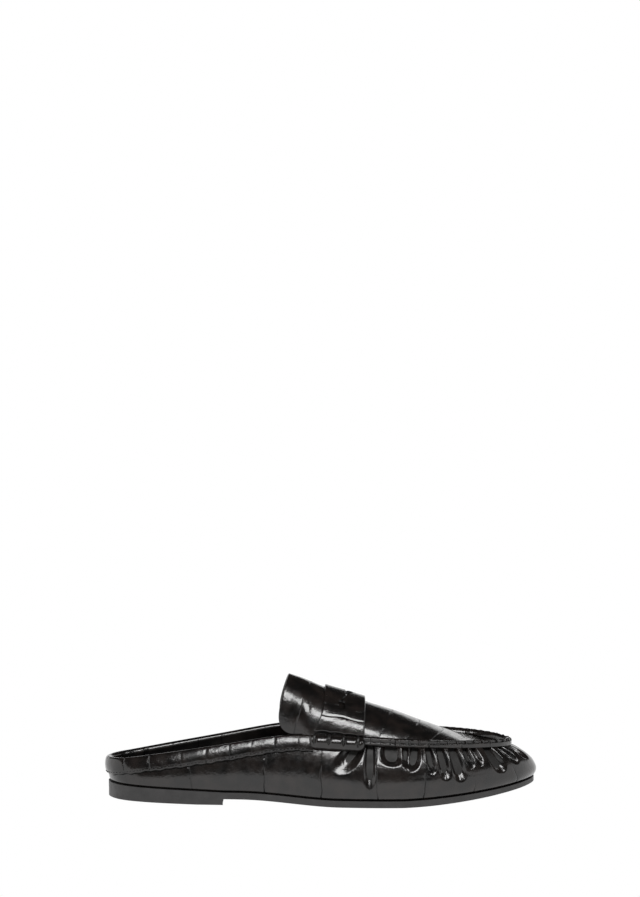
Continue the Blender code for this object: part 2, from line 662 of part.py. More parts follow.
def slot_outline():
    """The strap's opening seen from above, round its middle: notches at its ends, a diamond at its centre."""
    half, slit = SLOT_LENGTH / 2, SLOT_SLIT / 2
    notch_start, notch = half - SLOT_NOTCH[0], SLOT_NOTCH[1] / 2
    diamond_half, diamond = SLOT_DIAMOND[0] / 2, SLOT_DIAMOND[1] / 2
    front = [(diamond, 0.0), (slit, diamond_half), (slit, notch_start), (notch, notch_start), (notch, half)]
    inner_side = front + [(-x, y) for x, y in reversed(front)]
    outer_side = [(x, -y) for x, y in reversed(inner_side) if y > 0]
    return [(x - SLOT_SWEEP * min(1.0, abs(y) / notch_start) ** 2, y) for x, y in inner_side + outer_side]


def make_slot_cutter(collection):
    """The opening as an upright prism through the strap's middle."""
    middle = SLOT_MIDDLE - HEEL_REACH
    bm = bmesh.new()
    outline = slot_outline()
    base = bm.faces.new([bm.verts.new((middle + x, y, 0.6 * INSTEP_HEIGHT)) for x, y in outline])
    raised = bmesh.ops.extrude_face_region(bm, geom=[base])["geom"]
    for vert in (g for g in raised if isinstance(g, bmesh.types.BMVert)):
        vert.co.z = 1.1 * INSTEP_HEIGHT
    bmesh.ops.recalc_face_normals(bm, faces=bm.faces)
    mesh = bpy.data.meshes.new("slot_cutter")
    bm.to_mesh(mesh)
    bm.free()
    cutter = bpy.data.objects.new("slot_cutter", mesh)
    collection.objects.link(cutter)
    cutter.hide_render = True
    cutter.display_type = "WIRE"
    return cutter


def make_strap(finish, collection, cutters):
    """Saddle strap over the apron, its ends just above the stitched rolls, with the slot cut through it."""
    end = rib_share_above_seam(STITCHED_ROLL_ABOVE + 3 * GAP, STRAP_START - HEEL_REACH)
    alongs, shares = np.linspace(0, 1, 7), np.linspace(end, 1 - end, 25)
    grid_along, grid_share = np.meshgrid(alongs, shares, indexing="ij")
    normal = normal_of(strap_point, grid_along, grid_share, 0.02, 0.01)
    side = np.abs(2 * grid_share - 1)
    stand = GAP + STRAP_STAND * grid_along**2 * (1 - side**2)
    points = (strap_point(grid_along, grid_share) + normal * stand[..., None]).reshape(-1, 3)
    strap = add_object("saddle_strap", points, grid_faces(len(alongs), len(shares)), finish, collection)
    turn_faces(strap, (0, -1, 0))
    thicken(strap, STRAP_THICKNESS, outwards=True)
    cut = strap.modifiers.new("slot", "BOOLEAN")
    cut.operation = "DIFFERENCE"
    cut.solver = "EXACT"
    cut.object = make_slot_cutter(cutters)
    return strap


def clear_scene():
    for obj in list(bpy.data.objects):
        bpy.data.objects.remove(obj, do_unlink=True)


def new_collection(name):
    made = bpy.data.collections.new(name)
    bpy.context.scene.collection.children.link(made)
    return made


def main():
    clear_scene()
    shoe = new_collection("loafer_mule")
    cutters = new_collection("cutters")
    embossed = material("embossed_leather", (0.020, 0.016, 0.014), 0.22, coat=0.6)
    edge = material("sole_edge", (0.022, 0.020, 0.019), 0.45)
    lining = material("lining_leather", (0.018, 0.016, 0.015), 0.5)
    make_outsole(edge, shoe)
    make_heel(edge, shoe)
    make_insole(lining, shoe)
    make_upper(embossed, shoe)
    make_collar_band(embossed, shoe)
    make_seam_rolls(embossed, shoe)
    make_strap(embossed, shoe, cutters)


main()
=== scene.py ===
"""Right loafer mule in glossy embossed leather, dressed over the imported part.

The shoe stands on the floor at z = 0, its toe towards +X and its outer side towards -Y. Sizes are in metres.
The surfaces follow the part's own curves; gathers, grooves, seams and grain are laid over them.
"""

import math

import bmesh
import bpy
import numpy as np
from bpy.props import FloatProperty, FloatVectorProperty, PointerProperty
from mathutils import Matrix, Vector


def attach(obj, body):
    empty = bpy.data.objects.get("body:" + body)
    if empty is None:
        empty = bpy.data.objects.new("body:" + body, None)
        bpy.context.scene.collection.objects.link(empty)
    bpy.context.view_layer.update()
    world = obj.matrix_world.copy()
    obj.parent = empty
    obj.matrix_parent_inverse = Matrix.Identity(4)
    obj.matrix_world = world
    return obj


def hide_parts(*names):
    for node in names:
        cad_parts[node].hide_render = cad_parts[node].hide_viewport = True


bl_info = {
    "name": "Loafer mule",
    "version": (1, 0, 0),
    "blender": (4, 5, 0),
    "location": "3D View > Sidebar > Loafer",
    "description": "Dresses the packed loafer mule in embossed leather and sets its studio",
    "category": "Object",
}

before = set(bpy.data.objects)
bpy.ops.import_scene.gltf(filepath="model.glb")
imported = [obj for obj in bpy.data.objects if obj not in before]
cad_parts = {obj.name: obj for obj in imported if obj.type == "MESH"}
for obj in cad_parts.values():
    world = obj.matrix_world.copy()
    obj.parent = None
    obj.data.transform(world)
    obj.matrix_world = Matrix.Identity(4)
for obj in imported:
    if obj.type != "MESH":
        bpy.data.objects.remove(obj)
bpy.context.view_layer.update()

# Sizes of the shoe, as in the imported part
LENGTH = 0.2545  # back of the heel to the tip of the toe
SOLE_WIDTH = 0.083  # foot line of the upper across the ball
INSTEP_HEIGHT = 0.0738  # floor to the top of the tongue
HEEL_REACH = 0.058  # back of the shoe to the origin
HEEL_LIFT = 0.0034  # floor to the underside of the sole at the heel's front face
HEEL_PITCH = 0.0029  # how much further the back of the sole is lifted
HEEL_BREAST = 0.0709  # back of the shoe to the front face of the heel
HEEL_UNDERCUT = 0.0008  # how far the foot of the heel's front face leans back
HEEL_BEVEL_LENGTH = 0.055  # slight bevel under the back of the heel
HEEL_BEVEL_RISE = 0.0014
SOLE_THICKNESS = 0.0038
SOLE_TAPER = 0.0011  # how much thinner the sole is at the tip of the toe
SOLE_LIP = 0.0008  # how far the sole stands out past the upper's foot line
TOE_SPRING = 0.0088  # floor to the underside of the sole at the toe
INSOLE_THICKNESS = 0.002
UPPER_WALL = 0.0018
COLLAR_WIDTH_BACK = 0.0088  # folded band outside the collar, at the back
COLLAR_WIDTH_THROAT = 0.0103
COLLAR_LINING = 0.0085  # the same band turned down inside
COLLAR_THICKNESS = 0.0009
SEAM_THICKNESS = 0.0026  # rolled apron seam, at its sides
SEAM_STAND = 0.0036  # the same roll where it stands up round the toe
SEAM_BELOW = 0.0032  # how far the roll reaches down the wall
SEAM_ABOVE = 0.0026  # how far it reaches over the apron
STITCHED_ROLL_THICKNESS = 0.0038
STITCHED_ROLL_BELOW = 0.0074
STITCHED_ROLL_ABOVE = 0.0018
STITCHED_ROLL_LENGTH = 0.0320  # along the seam, from the throat
STITCHED_ROLL_BACK = 0.0006  # how far it starts behind the throat
STRAP_THICKNESS = 0.0015
STRAP_WIDTH = 0.0233  # on top of the instep
STRAP_FLARE = 0.0081  # how far its back edge runs back at its ends
STRAP_START = 0.5077 * LENGTH  # back of the shoe to the strap's back edge, on the instep
STRAP_STAND = 0.0012  # how far its front edge stands off the apron
SLOT_MIDDLE = 0.5631 * LENGTH  # back of the shoe to the middle of the strap's opening
SLOT_LENGTH = 0.0442  # the opening, across the shoe
SLOT_SWEEP = 0.0038  # how far its ends lie behind its middle
SLOT_SLIT = 0.0009
SLOT_NOTCH = (0.0054, 0.0036)  # across and along
SLOT_DIAMOND = (0.0170, 0.0064)
TONGUE_REACH = 0.0135  # throat to the back of the tongue, on the instep
TONGUE_WINGS = 0.0095  # how much further back its sides reach
TONGUE_LIFT = 0.0028  # its side edges over the collar's edge
GAP = 0.0003  # between pieces that meet
WALL_TURN = 0.0006  # how far the wall's lower edge is turned in over the sole
WALL_TURN_HEIGHT = 0.0016
GATHER_WIDTH = 0.0046  # half width of a gather
PUFF_HEIGHT = 0.0006  # swelling of the leather between the gathers
BAND_STITCH_INSET = 0.0011  # the band's stitches over its lower edge
SEAM_STITCH = 0.0056  # pitch of the stitches round the apron
STRAP_SCALLOP = 0.0008  # how far the strap's ends rise between the whip stitches
STRAP_EDGE = 0.0008  # rounding of the strap's edges
SEAM_RIPPLE = 0.0043  # pitch of the ripples along the apron seam
SEAM_TILE = 0.019  # length of the seam's embossed tiles
SEAM_THREAD = 0.00052  # radius of the stitches over the apron seam
WHIP_THREAD = 0.00075  # radius of the whip stitches over the rolls
HEEL_SEAT = 0.0002  # how far the heel reaches into the sole
STRAP_FIRST_WHIP, STRAP_WHIP_PITCH = 0.06, 0.27  # shares of the strap's width
CAMERA_ELEVATION, CAMERA_DISTANCE, CAMERA_LENS = 8.5, 1.8, 122.1
CAMERA_DROP, CAMERA_SHIFT = 288.5, 0.00055

# Places along the shoe, as shares of LENGTH
WAIST_START, BALL_START, BALL_END = 0.315, 0.545, 0.680
TOE_CURVE = 1.55  # how late the toe spring rises

# One row for each section of the upper, from the back of the heel along the outer side to the toe
# and back along the inner side. Along is a share of LENGTH from the back, across, belly and
# shoulder are shares of SOLE_WIDTH, height is a share of INSTEP_HEIGHT. The foot is the wall's
# lower edge; the top is the collar or the apron seam. Belly and shoulder are how far the lower
# and the upper wall swell outwards.
SECTION_COLUMNS = ("foot_along", "foot_across", "top_along", "top_across", "top_height", "belly", "shoulder")
SECTIONS = (
    (0.012, 0.000, 0.007, 0.000, 0.310, 0.016, 0.006),
    (0.028, -0.163, 0.025, -0.143, 0.316, 0.018, 0.008),
    (0.065, -0.263, 0.061, -0.211, 0.331, 0.024, 0.018),
    (0.130, -0.323, 0.127, -0.256, 0.367, 0.029, 0.027),
    (0.216, -0.353, 0.212, -0.287, 0.413, 0.031, 0.029),
    (0.314, -0.381, 0.310, -0.304, 0.469, 0.036, 0.031),
    (0.403, -0.413, 0.401, -0.320, 0.519, 0.043, 0.036),
    (0.477, -0.446, 0.477, -0.342, 0.530, 0.054, 0.042),
    (0.554, -0.481, 0.554, -0.359, 0.514, 0.070, 0.050),
    (0.629, -0.499, 0.629, -0.369, 0.496, 0.080, 0.058),
    (0.695, -0.493, 0.694, -0.366, 0.482, 0.082, 0.063),
    (0.758, -0.464, 0.749, -0.349, 0.472, 0.080, 0.067),
    (0.821, -0.410, 0.800, -0.316, 0.461, 0.076, 0.072),
    (0.877, -0.337, 0.845, -0.263, 0.450, 0.076, 0.080),
    (0.925, -0.241, 0.884, -0.188, 0.439, 0.078, 0.092),
    (0.966, -0.114, 0.915, -0.096, 0.428, 0.083, 0.106),
    (0.991, 0.066, 0.932, 0.030, 0.416, 0.089, 0.118),
    (0.979, 0.223, 0.920, 0.151, 0.420, 0.083, 0.109),
    (0.946, 0.340, 0.893, 0.239, 0.431, 0.076, 0.095),
    (0.898, 0.417, 0.852, 0.299, 0.443, 0.072, 0.081),
    (0.839, 0.464, 0.804, 0.335, 0.456, 0.068, 0.072),
    (0.772, 0.482, 0.749, 0.354, 0.469, 0.066, 0.066),
    (0.703, 0.469, 0.694, 0.361, 0.482, 0.064, 0.060),
    (0.633, 0.427, 0.629, 0.359, 0.496, 0.062, 0.054),
    (0.556, 0.366, 0.554, 0.352, 0.514, 0.060, 0.048),
    (0.477, 0.320, 0.477, 0.336, 0.530, 0.056, 0.042),
    (0.403, 0.304, 0.401, 0.317, 0.521, 0.050, 0.037),
    (0.314, 0.313, 0.310, 0.298, 0.470, 0.042, 0.031),
    (0.216, 0.335, 0.212, 0.281, 0.411, 0.034, 0.029),
    (0.130, 0.318, 0.127, 0.252, 0.363, 0.029, 0.027),
    (0.065, 0.263, 0.061, 0.210, 0.327, 0.024, 0.018),
    (0.028, 0.163, 0.025, 0.143, 0.314, 0.018, 0.008),
)
THROAT_OUTER, TOE, THROAT_INNER, ROUND = 7, 16, 25, 32  # rows of SECTIONS where the apron starts and turns

# Ridge of the instep: along as a share of LENGTH, height as a share of INSTEP_HEIGHT
INSTEP_COLUMNS = ("along", "height")
INSTEP = (
    (0.393, 1.030),
    (0.417, 0.997),
    (0.460, 0.946),
    (0.499, 0.889),
    (0.554, 0.824),
    (0.609, 0.753),
    (0.668, 0.688),
    (0.719, 0.621),
    (0.766, 0.560),
    (0.813, 0.494),
    (0.853, 0.449),
    (0.896, 0.424),
    (0.936, 0.420),
)
ARCH_ROUNDNESS = 0.13  # how far in the flanks of the instep stay steep, as a share of its width

# Gathers under the apron seam. Row is where the gather starts, in rows of SECTIONS, slant is how
# many rows its foot has moved on, reach is a share of the wall's height, depth of the gather
# depth and width of GATHER_WIDTH.
GATHERS = (
    (8.52, -1.07, 0.62, 0.80, 1.40),
    (8.78, -0.05, 0.84, 1.15, 0.75),
    (9.41, 0.15, 0.46, 1.10, 1.60),
    (9.95, 0.00, 0.50, 0.80, 0.70),
    (10.38, -0.45, 0.54, 1.00, 1.10),
    (10.86, 0.12, 0.60, 1.00, 0.75),
    (11.36, 0.08, 0.70, 1.10, 0.95),
    (11.95, 0.00, 0.76, 1.20, 1.15),
    (12.55, -0.15, 0.54, 0.80, 0.80),
    (13.00, -0.20, 0.50, 0.70, 0.70),
    (13.75, 0.00, 0.68, 1.15, 1.50),
    (14.65, 0.10, 0.55, 0.80, 1.00),
    (15.45, 0.10, 0.50, 0.60, 0.90),
    (16.30, 0.00, 0.55, 0.75, 1.00),
    (17.10, -0.05, 0.50, 0.80, 0.90),
    (17.90, -0.10, 0.62, 1.05, 1.20),
    (18.65, 0.15, 0.52, 0.80, 0.80),
    (19.20, -0.10, 0.66, 1.10, 0.95),
    (19.85, 0.10, 0.74, 1.15, 1.10),
    (20.45, -0.15, 0.56, 0.90, 0.75),
    (20.95, 0.20, 0.50, 0.95, 1.00),
    (21.50, -0.05, 0.62, 1.00, 0.80),
    (22.05, 0.30, 0.55, 1.05, 1.20),
    (22.65, -0.10, 0.48, 0.85, 0.75),
    (23.20, 0.05, 0.82, 1.15, 0.80),
    (23.48, 1.05, 0.60, 0.80, 1.40),
)

# Grooves of the embossed tiles: over the wall in rows of SECTIONS, over the apron in shares of
# LENGTH from the back, over its sides and over the strap in shares of a rib, along the band in
# metres from its middle.
TILE_ROWS = (1.77, 3.83, 5.66, 7.34, 8.96, 10.6, 12.5, 14.4, 16.3, 18.3, 20.2, 22.0, 23.8, 25.6, 27.5, 29.3, 30.9)
APRON_GROOVES = (0.405, 0.478, 0.57, 0.666, 0.729, 0.782, 0.833, 0.888)
SIDE_GROOVES = (-0.6, -0.1, 1.1, 1.6)
STRAP_GROOVES = (0.02, 0.13, 0.215, 0.785, 0.87, 0.98)
BAND_GROOVES = (
    -0.119, -0.103, -0.090, -0.078, -0.064, -0.047, -0.031, -0.013, 0.006, 0.022,
    0.038, 0.055, 0.071, 0.084, 0.097, 0.110, 0.124,
)
WHIP_PLACES = (0.10, 0.355, 0.61, 0.86)  # shares of the stitched roll's length
UP = np.array((0.0, 0.0, 1.0))


def smooth_curve(knots, values, closed=False):
    """A cubic curve through one row of values for each knot, with no break in its bend."""
    knots, values = np.asarray(knots, float), np.asarray(values, float)
    count, gaps = len(knots), np.diff(knots)
    rises = np.diff(values, axis=0) / gaps[:, None]
    matrix, right = np.zeros((count, count)), np.zeros(values.shape)
    for i in range(1, count - 1):
        matrix[i, i - 1 : i + 2] = gaps[i], 2 * (gaps[i - 1] + gaps[i]), gaps[i - 1]
        right[i] = 3 * (gaps[i] * rises[i - 1] + gaps[i - 1] * rises[i])
    if closed:
        matrix[0, 0], matrix[0, 1], matrix[0, -2] = 2 * (gaps[-1] + gaps[0]), gaps[-1], gaps[0]
        right[0] = 3 * (gaps[0] * rises[-1] + gaps[-1] * rises[0])
        matrix[-1, 0], matrix[-1, -1] = 1, -1
    else:
        matrix[0, :2], right[0] = (2, 1), 3 * rises[0]
        matrix[-1, -2:], right[-1] = (1, 2), 3 * rises[-1]
    slopes = np.linalg.solve(matrix, right)

    def at(place):
        place = np.asarray(place, float)
        if closed:
            place = knots[0] + (place - knots[0]) % (knots[-1] - knots[0])
        i = np.clip(np.searchsorted(knots, place, side="right") - 1, 0, count - 2)
        t, h = ((place - knots[i]) / gaps[i])[..., None], gaps[i][..., None]
        return (
            values[i] * (1 + 2 * t) * (1 - t) ** 2
            + slopes[i] * h * t * (1 - t) ** 2
            + values[i + 1] * t**2 * (3 - 2 * t)
            + slopes[i + 1] * h * t**2 * (t - 1)
        )

    return at


def section_curves():
    """The wall's foot, top, belly and shoulder as one closed curve over the rows of SECTIONS, in metres."""
    table = dict(zip(SECTION_COLUMNS, np.array(SECTIONS).T))
    columns = (
        table["foot_along"] * LENGTH - HEEL_REACH,
        table["foot_across"] * SOLE_WIDTH,
        table["top_along"] * LENGTH - HEEL_REACH,
        table["top_across"] * SOLE_WIDTH,
        table["top_height"] * INSTEP_HEIGHT,
        table["belly"] * SOLE_WIDTH,
        table["shoulder"] * SOLE_WIDTH,
    )
    values = np.array(columns).T
    return smooth_curve(range(ROUND + 1), np.vstack([values, values[:1]]), closed=True)


def instep_curve():
    """Height of the instep's ridge over x, in metres."""
    table = dict(zip(INSTEP_COLUMNS, np.array(INSTEP).T))
    return smooth_curve(table["along"] * LENGTH - HEEL_REACH, table["height"][:, None] * INSTEP_HEIGHT)


sections = section_curves()
instep = instep_curve()


def unit(vectors):
    return vectors / np.linalg.norm(vectors, axis=-1, keepdims=True)


def sole_rise(x):
    """Height of the sole's underside over the floor: lifted by the heel, flat at the ball, sprung at the toe."""
    along = (x + HEEL_REACH) / LENGTH
    heel = np.clip(1 - along * LENGTH / HEEL_BREAST, 0, 1)
    waist = np.clip((BALL_START - along) / (BALL_START - WAIST_START), 0, 1)
    lifted = HEEL_PITCH * heel + HEEL_LIFT * waist**2 * (3 - 2 * waist)
    return lifted + TOE_SPRING * toe_share(x) ** TOE_CURVE


def toe_share(x):
    """From 0 where the sole leaves the floor to 1 at the tip of the toe."""
    return np.clip(((x + HEEL_REACH) / LENGTH - BALL_END) / (1 - BALL_END), 0, 1)


def seat_height(x):
    """Height of the sole's upper face."""
    return sole_rise(x) + SOLE_THICKNESS - SOLE_TAPER * toe_share(x) ** 2


def foot_line(row, offset=0.0):
    """Plan of the wall's lower edge, moved outwards by offset, with its outward direction."""
    step = 0.01
    row = np.asarray(row, float)
    point = sections(row)[..., :2]
    along = sections(row + step)[..., :2] - sections(row - step)[..., :2]
    outward = unit(np.stack([along[..., 1], -along[..., 0]], axis=-1))
    if float(sections(TOE)[0]) < float(sections(0)[0]):
        outward = -outward
    return point + outward * offset, outward


def smooth_wall(row, share):
    """A point of the wall before it is gathered: share 0 is the foot line and 1 the collar or the apron seam."""
    row, share = np.broadcast_arrays(np.asarray(row, float), np.asarray(share, float))
    values = sections(row)
    foot_plan, outward = foot_line(row)
    outward = np.concatenate([outward, np.zeros(outward.shape[:-1] + (1,))], axis=-1)
    foot = np.concatenate([foot_plan, (seat_height(foot_plan[..., 0]) + GAP)[..., None]], axis=-1)
    top = values[..., 2:5]
    height = (top[..., 2] - foot[..., 2])[..., None] * UP
    low = foot + outward * values[..., 5:6] + 0.33 * height
    high = top + outward * values[..., 6:7] - 0.18 * height
    s = share[..., None]
    return foot * (1 - s) ** 3 + 3 * low * s * (1 - s) ** 2 + 3 * high * s**2 * (1 - s) + top * s**3


def normal_of(surface, a, b, step_a, step_b):
    """Outward direction of a surface of two values, from its slopes."""
    along = surface(a + step_a, b) - surface(a - step_a, b)
    up = surface(a, b + step_b) - surface(a, b - step_b)
    return unit(np.cross(along, up))


def wall_normal(row, share):
    share = np.clip(share, 0.01, 0.99)
    return normal_of(smooth_wall, np.asarray(row, float), share, 0.02, 0.01)


def arch(outer, inner, ridge, share):
    """A rib over the foot from the outer to the inner seam, its middle at the height of the ridge."""
    lift = ((ridge - (outer[..., 2] + inner[..., 2]) / 2) / 0.75)[..., None] * UP
    low = outer + (inner - outer) * ARCH_ROUNDNESS + lift
    high = inner + (outer - inner) * ARCH_ROUNDNESS + lift
    s = share[..., None]
    return outer * (1 - s) ** 3 + 3 * low * s * (1 - s) ** 2 + 3 * high * s**2 * (1 - s) + inner * s**3


def seam_ends(station):
    """The two ends of the apron's rib at a station from 0 at the throat to 1 at the toe."""
    outer = sections(THROAT_OUTER + station * (TOE - THROAT_OUTER))[..., 2:5]
    inner = sections(THROAT_INNER + station * (TOE - THROAT_INNER))[..., 2:5]
    return outer, inner


def apron(station, share):
    """A point of the apron: share runs from the outer to the inner seam."""
    station, share = np.broadcast_arrays(np.asarray(station, float), np.asarray(share, float))
    outer, inner = seam_ends(station)
    middle = (outer[..., 0] + inner[..., 0]) / 2
    return arch(outer, inner, instep(middle)[..., 0], share)


def tongue(back, share):
    """A point of the tongue, which carries the apron's arch on behind the throat."""
    back, share = np.broadcast_arrays(np.asarray(back, float), np.asarray(share, float))
    outer, inner = seam_ends(np.zeros(back.shape))
    lift = TONGUE_LIFT * (1 - np.exp(-back / 0.0013)) + 0.03 * back - 0.20 * np.clip(back - 0.004, 0, 0.008)
    shift = np.stack([-back, 0.37 * back, lift], axis=-1)
    outer = outer + shift
    inner = inner + shift * (1, -1, 1)
    return arch(outer, inner, instep(outer[..., 0])[..., 0], share)


def tongue_reach(share):
    """How far the tongue reaches back behind the throat at a share of its width."""
    side = np.abs(2 * np.asarray(share, float) - 1)
    return (TONGUE_REACH + TONGUE_WINGS * side**2) * (1 - side**8) ** 0.25


def mean_row_spacing():
    """Length of the apron seam for each row of SECTIONS, at the ball."""
    ends = sections(np.array([THROAT_OUTER + 1, THROAT_OUTER + 5]))[:, 2:5]
    return float(np.linalg.norm(ends[1] - ends[0])) / 4


ROW_SPACING = mean_row_spacing()


def seam_frame(row):
    """At a row of the seam: its point, the way down the wall, the way in over the apron, and the two normals."""
    station = np.where(
        row <= TOE, (row - THROAT_OUTER) / (TOE - THROAT_OUTER), (THROAT_INNER - row) / (THROAT_INNER - TOE)
    )
    outer, inner = seam_ends(station)
    point = smooth_wall(row, 1.0)
    down = unit(smooth_wall(row, 0.96) - point)
    middle = (outer[..., 0] + inner[..., 0]) / 2
    lift = (instep(middle)[..., 0] - (outer[..., 2] + inner[..., 2]) / 2) / 0.75
    reach = np.linalg.norm(inner - outer, axis=-1) * ARCH_ROUNDNESS + 0.004
    along = unit(smooth_wall(row + 0.02, 1.0) - smooth_wall(row - 0.02, 1.0))
    sideways = unit(np.cross(UP, along))
    over = unit(sideways * reach[..., None] + UP * lift[..., None])
    wall_out = unit(np.cross(along, -down))
    apron_out = unit(np.cross(along, over))
    return point, down, over, wall_out, apron_out


def seam_run(rows):
    """Distance along the seam and the collar's edge at each row, in metres."""
    path = smooth_wall(rows, 1.0)
    steps = np.linalg.norm(np.diff(path, axis=0), axis=1)
    return np.concatenate([[0.0], np.cumsum(steps)])


def rows_at_pitch(first, last, pitch, start_share=0.5):
    """Rows a pitch apart between two rows of SECTIONS."""
    rows = np.linspace(first, last, 1200)
    run = seam_run(rows)
    count = int(round(run[-1] / pitch))
    return np.interp((np.arange(count) + start_share) * run[-1] / count, run, rows)


def station_of(x):
    """Station of the apron whose rib crosses the middle at x."""
    stations = np.linspace(0, 1, 201)
    outer, inner = seam_ends(stations)
    return np.interp(x, (outer[:, 0] + inner[:, 0]) / 2, stations)


def rib_share_above_seam(distance, x):
    """Share of a rib that lies a distance over the seam."""
    shares = np.linspace(0, 0.3, 301)
    path = apron(station_of(x), shares)
    run = np.concatenate([[0], np.cumsum(np.linalg.norm(np.diff(path, axis=0), axis=1))])
    return np.interp(distance, run, shares)


def strap_point(along, share):
    """A point under the strap: along runs from its back to its front edge, share over the foot."""
    side = np.abs(2 * share - 1)
    back = STRAP_START - STRAP_FLARE * side**4.4
    front = STRAP_START + STRAP_WIDTH
    x = back + (front - back) * along - HEEL_REACH
    return apron(station_of(x), share)


def slot_outline():
    """The strap's opening seen from above, round its middle: notches at its ends, a diamond at its centre."""
    half, slit = SLOT_LENGTH / 2, SLOT_SLIT / 2
    notch_start, notch = half - SLOT_NOTCH[0], SLOT_NOTCH[1] / 2
    diamond_half, diamond = SLOT_DIAMOND[0] / 2, SLOT_DIAMOND[1] / 2
    front = [(diamond, 0.0), (slit, diamond_half), (slit, notch_start), (notch, notch_start), (notch, half)]
    inner_side = front + [(-x, y) for x, y in reversed(front)]
    outer_side = [(x, -y) for x, y in reversed(inner_side) if y > 0]
    return [(x - SLOT_SWEEP * min(1.0, abs(y) / notch_start) ** 2, y) for x, y in inner_side + outer_side]


# Shape of the leather


def gather_share(row, share):
    """From 0 on plain leather to 1 at the bottom of the deepest gather, at a row and a share of the wall's height."""
    total = np.zeros(np.broadcast(row, share).shape)
    for start, slant, reach, deep, width in GATHERS:
        down = np.clip((1 - share) / reach, 0, 1.2)
        half = GATHER_WIDTH * width * (0.62 + 0.58 * down) / ROW_SPACING
        across = (row - start - slant * (1 - share)) / half
        hollow = np.clip(1 - across**2 - down**5, 0, 1) ** 1.6
        total = total + (deep * hollow) ** 3
    return np.cbrt(total)


def puff_share(row, share):
    """Swelling of the leather between the gathers, strongest a little under the seam."""
    front = np.clip((row - THROAT_OUTER - 1.2) / 1.2, 0, 1) * np.clip((THROAT_INNER - 1.2 - row) / 1.2, 0, 1)
    level = np.clip(1 - ((share - 0.72) / 0.34) ** 2, 0, 1)
    return front * level


def leather_wall(row, share, depth):
    """The wall with its gathers, its swellings and its lower edge turned in."""
    gathered = gather_share(row, share)
    plain = smooth_wall(row, share)
    outwards = wall_normal(row, share)
    height = share * (plain[..., 2].max(axis=1, keepdims=True) - plain[..., 2].min(axis=1, keepdims=True))
    turned = WALL_TURN * np.clip(1 - height / WALL_TURN_HEIGHT, 0, 1) ** 2
    swell = PUFF_HEIGHT * puff_share(row, share) * np.clip(1 - 1.6 * gathered, 0, 1)
    moved = swell - depth * gathered - turned
    return plain + outwards * moved[..., None], gathered


def edge_drop(inset, radius):
    """How far a rounded edge falls away at an inset from it."""
    near = np.clip(radius - inset, 0, radius)
    return radius - np.sqrt(radius**2 - near**2)


def dense_ends(count):
    """Shares from 0 to 1 that lie closer together near both ends."""
    return 0.5 - 0.5 * np.cos(math.pi * np.linspace(0, 1, count))


def tile_place(places, grooves, period=None):
    """Position counted in embossed tiles: whole numbers fall on the grooves."""
    grooves = np.asarray(grooves, float)
    if period is not None:
        grooves = np.concatenate([grooves - period, grooves, grooves + period])
    first, last = grooves[1] - grooves[0], grooves[-1] - grooves[-2]
    knots = np.concatenate([[grooves[0] - first], grooves, [grooves[-1] + last]])
    return np.interp(places, knots, np.arange(len(knots)))


# Mesh making


def new_object(name, mesh, finish):
    mesh.materials.append(finish)
    mesh.shade_smooth()
    made = bpy.data.objects.new(name, mesh)
    bpy.context.scene.collection.objects.link(made)
    return made


def sheet(name, points, finish, maps, closed=False, towards=None):
    """An open sheet from a grid of points listed column by column; maps gives a pair of values for each point."""
    columns, rows = points.shape[:2]
    column = np.arange(columns if closed else columns - 1)[:, None]
    row = np.arange(rows - 1)[None, :]
    steps = ((0, 0), (1, 0), (1, 1), (0, 1))
    corners = [((column + c) % columns) * rows + row + r for c, r in steps]
    faces = np.stack(corners, axis=-1).reshape(-1, 4)
    mesh = bpy.data.meshes.new(name)
    mesh.from_pydata(points.reshape(-1, 3).tolist(), [], faces.tolist())
    for map_name, values in maps.items():
        layer = mesh.uv_layers.new(name=map_name)
        loops = np.stack([values[column + c, row + r] for c, r in steps], axis=-2)
        layer.data.foreach_set("uv", loops.reshape(-1).astype(np.float32))
    made = new_object(name, mesh, finish)
    if towards is not None and mesh.polygons[0].normal.dot(Vector(towards)) < 0:
        mesh.flip_normals()
    return made


def pair(first, second):
    """Two grids of values as one grid of pairs."""
    return np.stack(np.broadcast_arrays(first, second), axis=-1).astype(float)


def thicken(obj, thickness, outwards):
    solid = obj.modifiers.new("thickness", "SOLIDIFY")
    solid.thickness = thickness
    solid.offset = 1.0 if outwards else -1.0
    solid.use_even_offset = False


def bake_modifiers(obj):
    """Turns the piece's modifiers into plain mesh."""
    evaluated = obj.evaluated_get(bpy.context.evaluated_depsgraph_get())
    mesh = bpy.data.meshes.new_from_object(evaluated)
    obj.modifiers.clear()
    obj.data = mesh


def bars(name, paths, outwards, radii, flatness, finish, sides=8):
    """Short rounded bars: each row of paths holds the points of one bar, outwards the way it stands off."""
    along = unit(np.gradient(paths, axis=1))
    side = unit(np.cross(along, outwards))
    lift = unit(np.cross(side, along))
    angle = np.linspace(0, 2 * math.pi, sides, endpoint=False)
    ring = side[:, :, None] * np.cos(angle)[:, None] + lift[:, :, None] * (np.sin(angle) * flatness)[:, None]
    points = paths[:, :, None] + ring * np.asarray(radii)[None, :, None, None]
    count, length = paths.shape[:2]
    faces = []
    for bar in range(count):
        for i in range(length - 1):
            first = (bar * length + i) * sides
            for k in range(sides):
                after = (k + 1) % sides
                faces.append((first + k, first + after, first + sides + after, first + sides + k))
        start, end = bar * length * sides, ((bar + 1) * length - 1) * sides
        faces.append(tuple(range(start, start + sides))[::-1])
        faces.append(tuple(range(end, end + sides)))
    mesh = bpy.data.meshes.new(name)
    mesh.from_pydata(points.reshape(-1, 3).tolist(), [], faces)
    return new_object(name, mesh, finish)


def stands_for(piece, node):
    """Fixes a finished piece to the shoe and hides the node of the part that it takes the place of."""
    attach(piece, "root")
    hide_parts(node)


# Materials


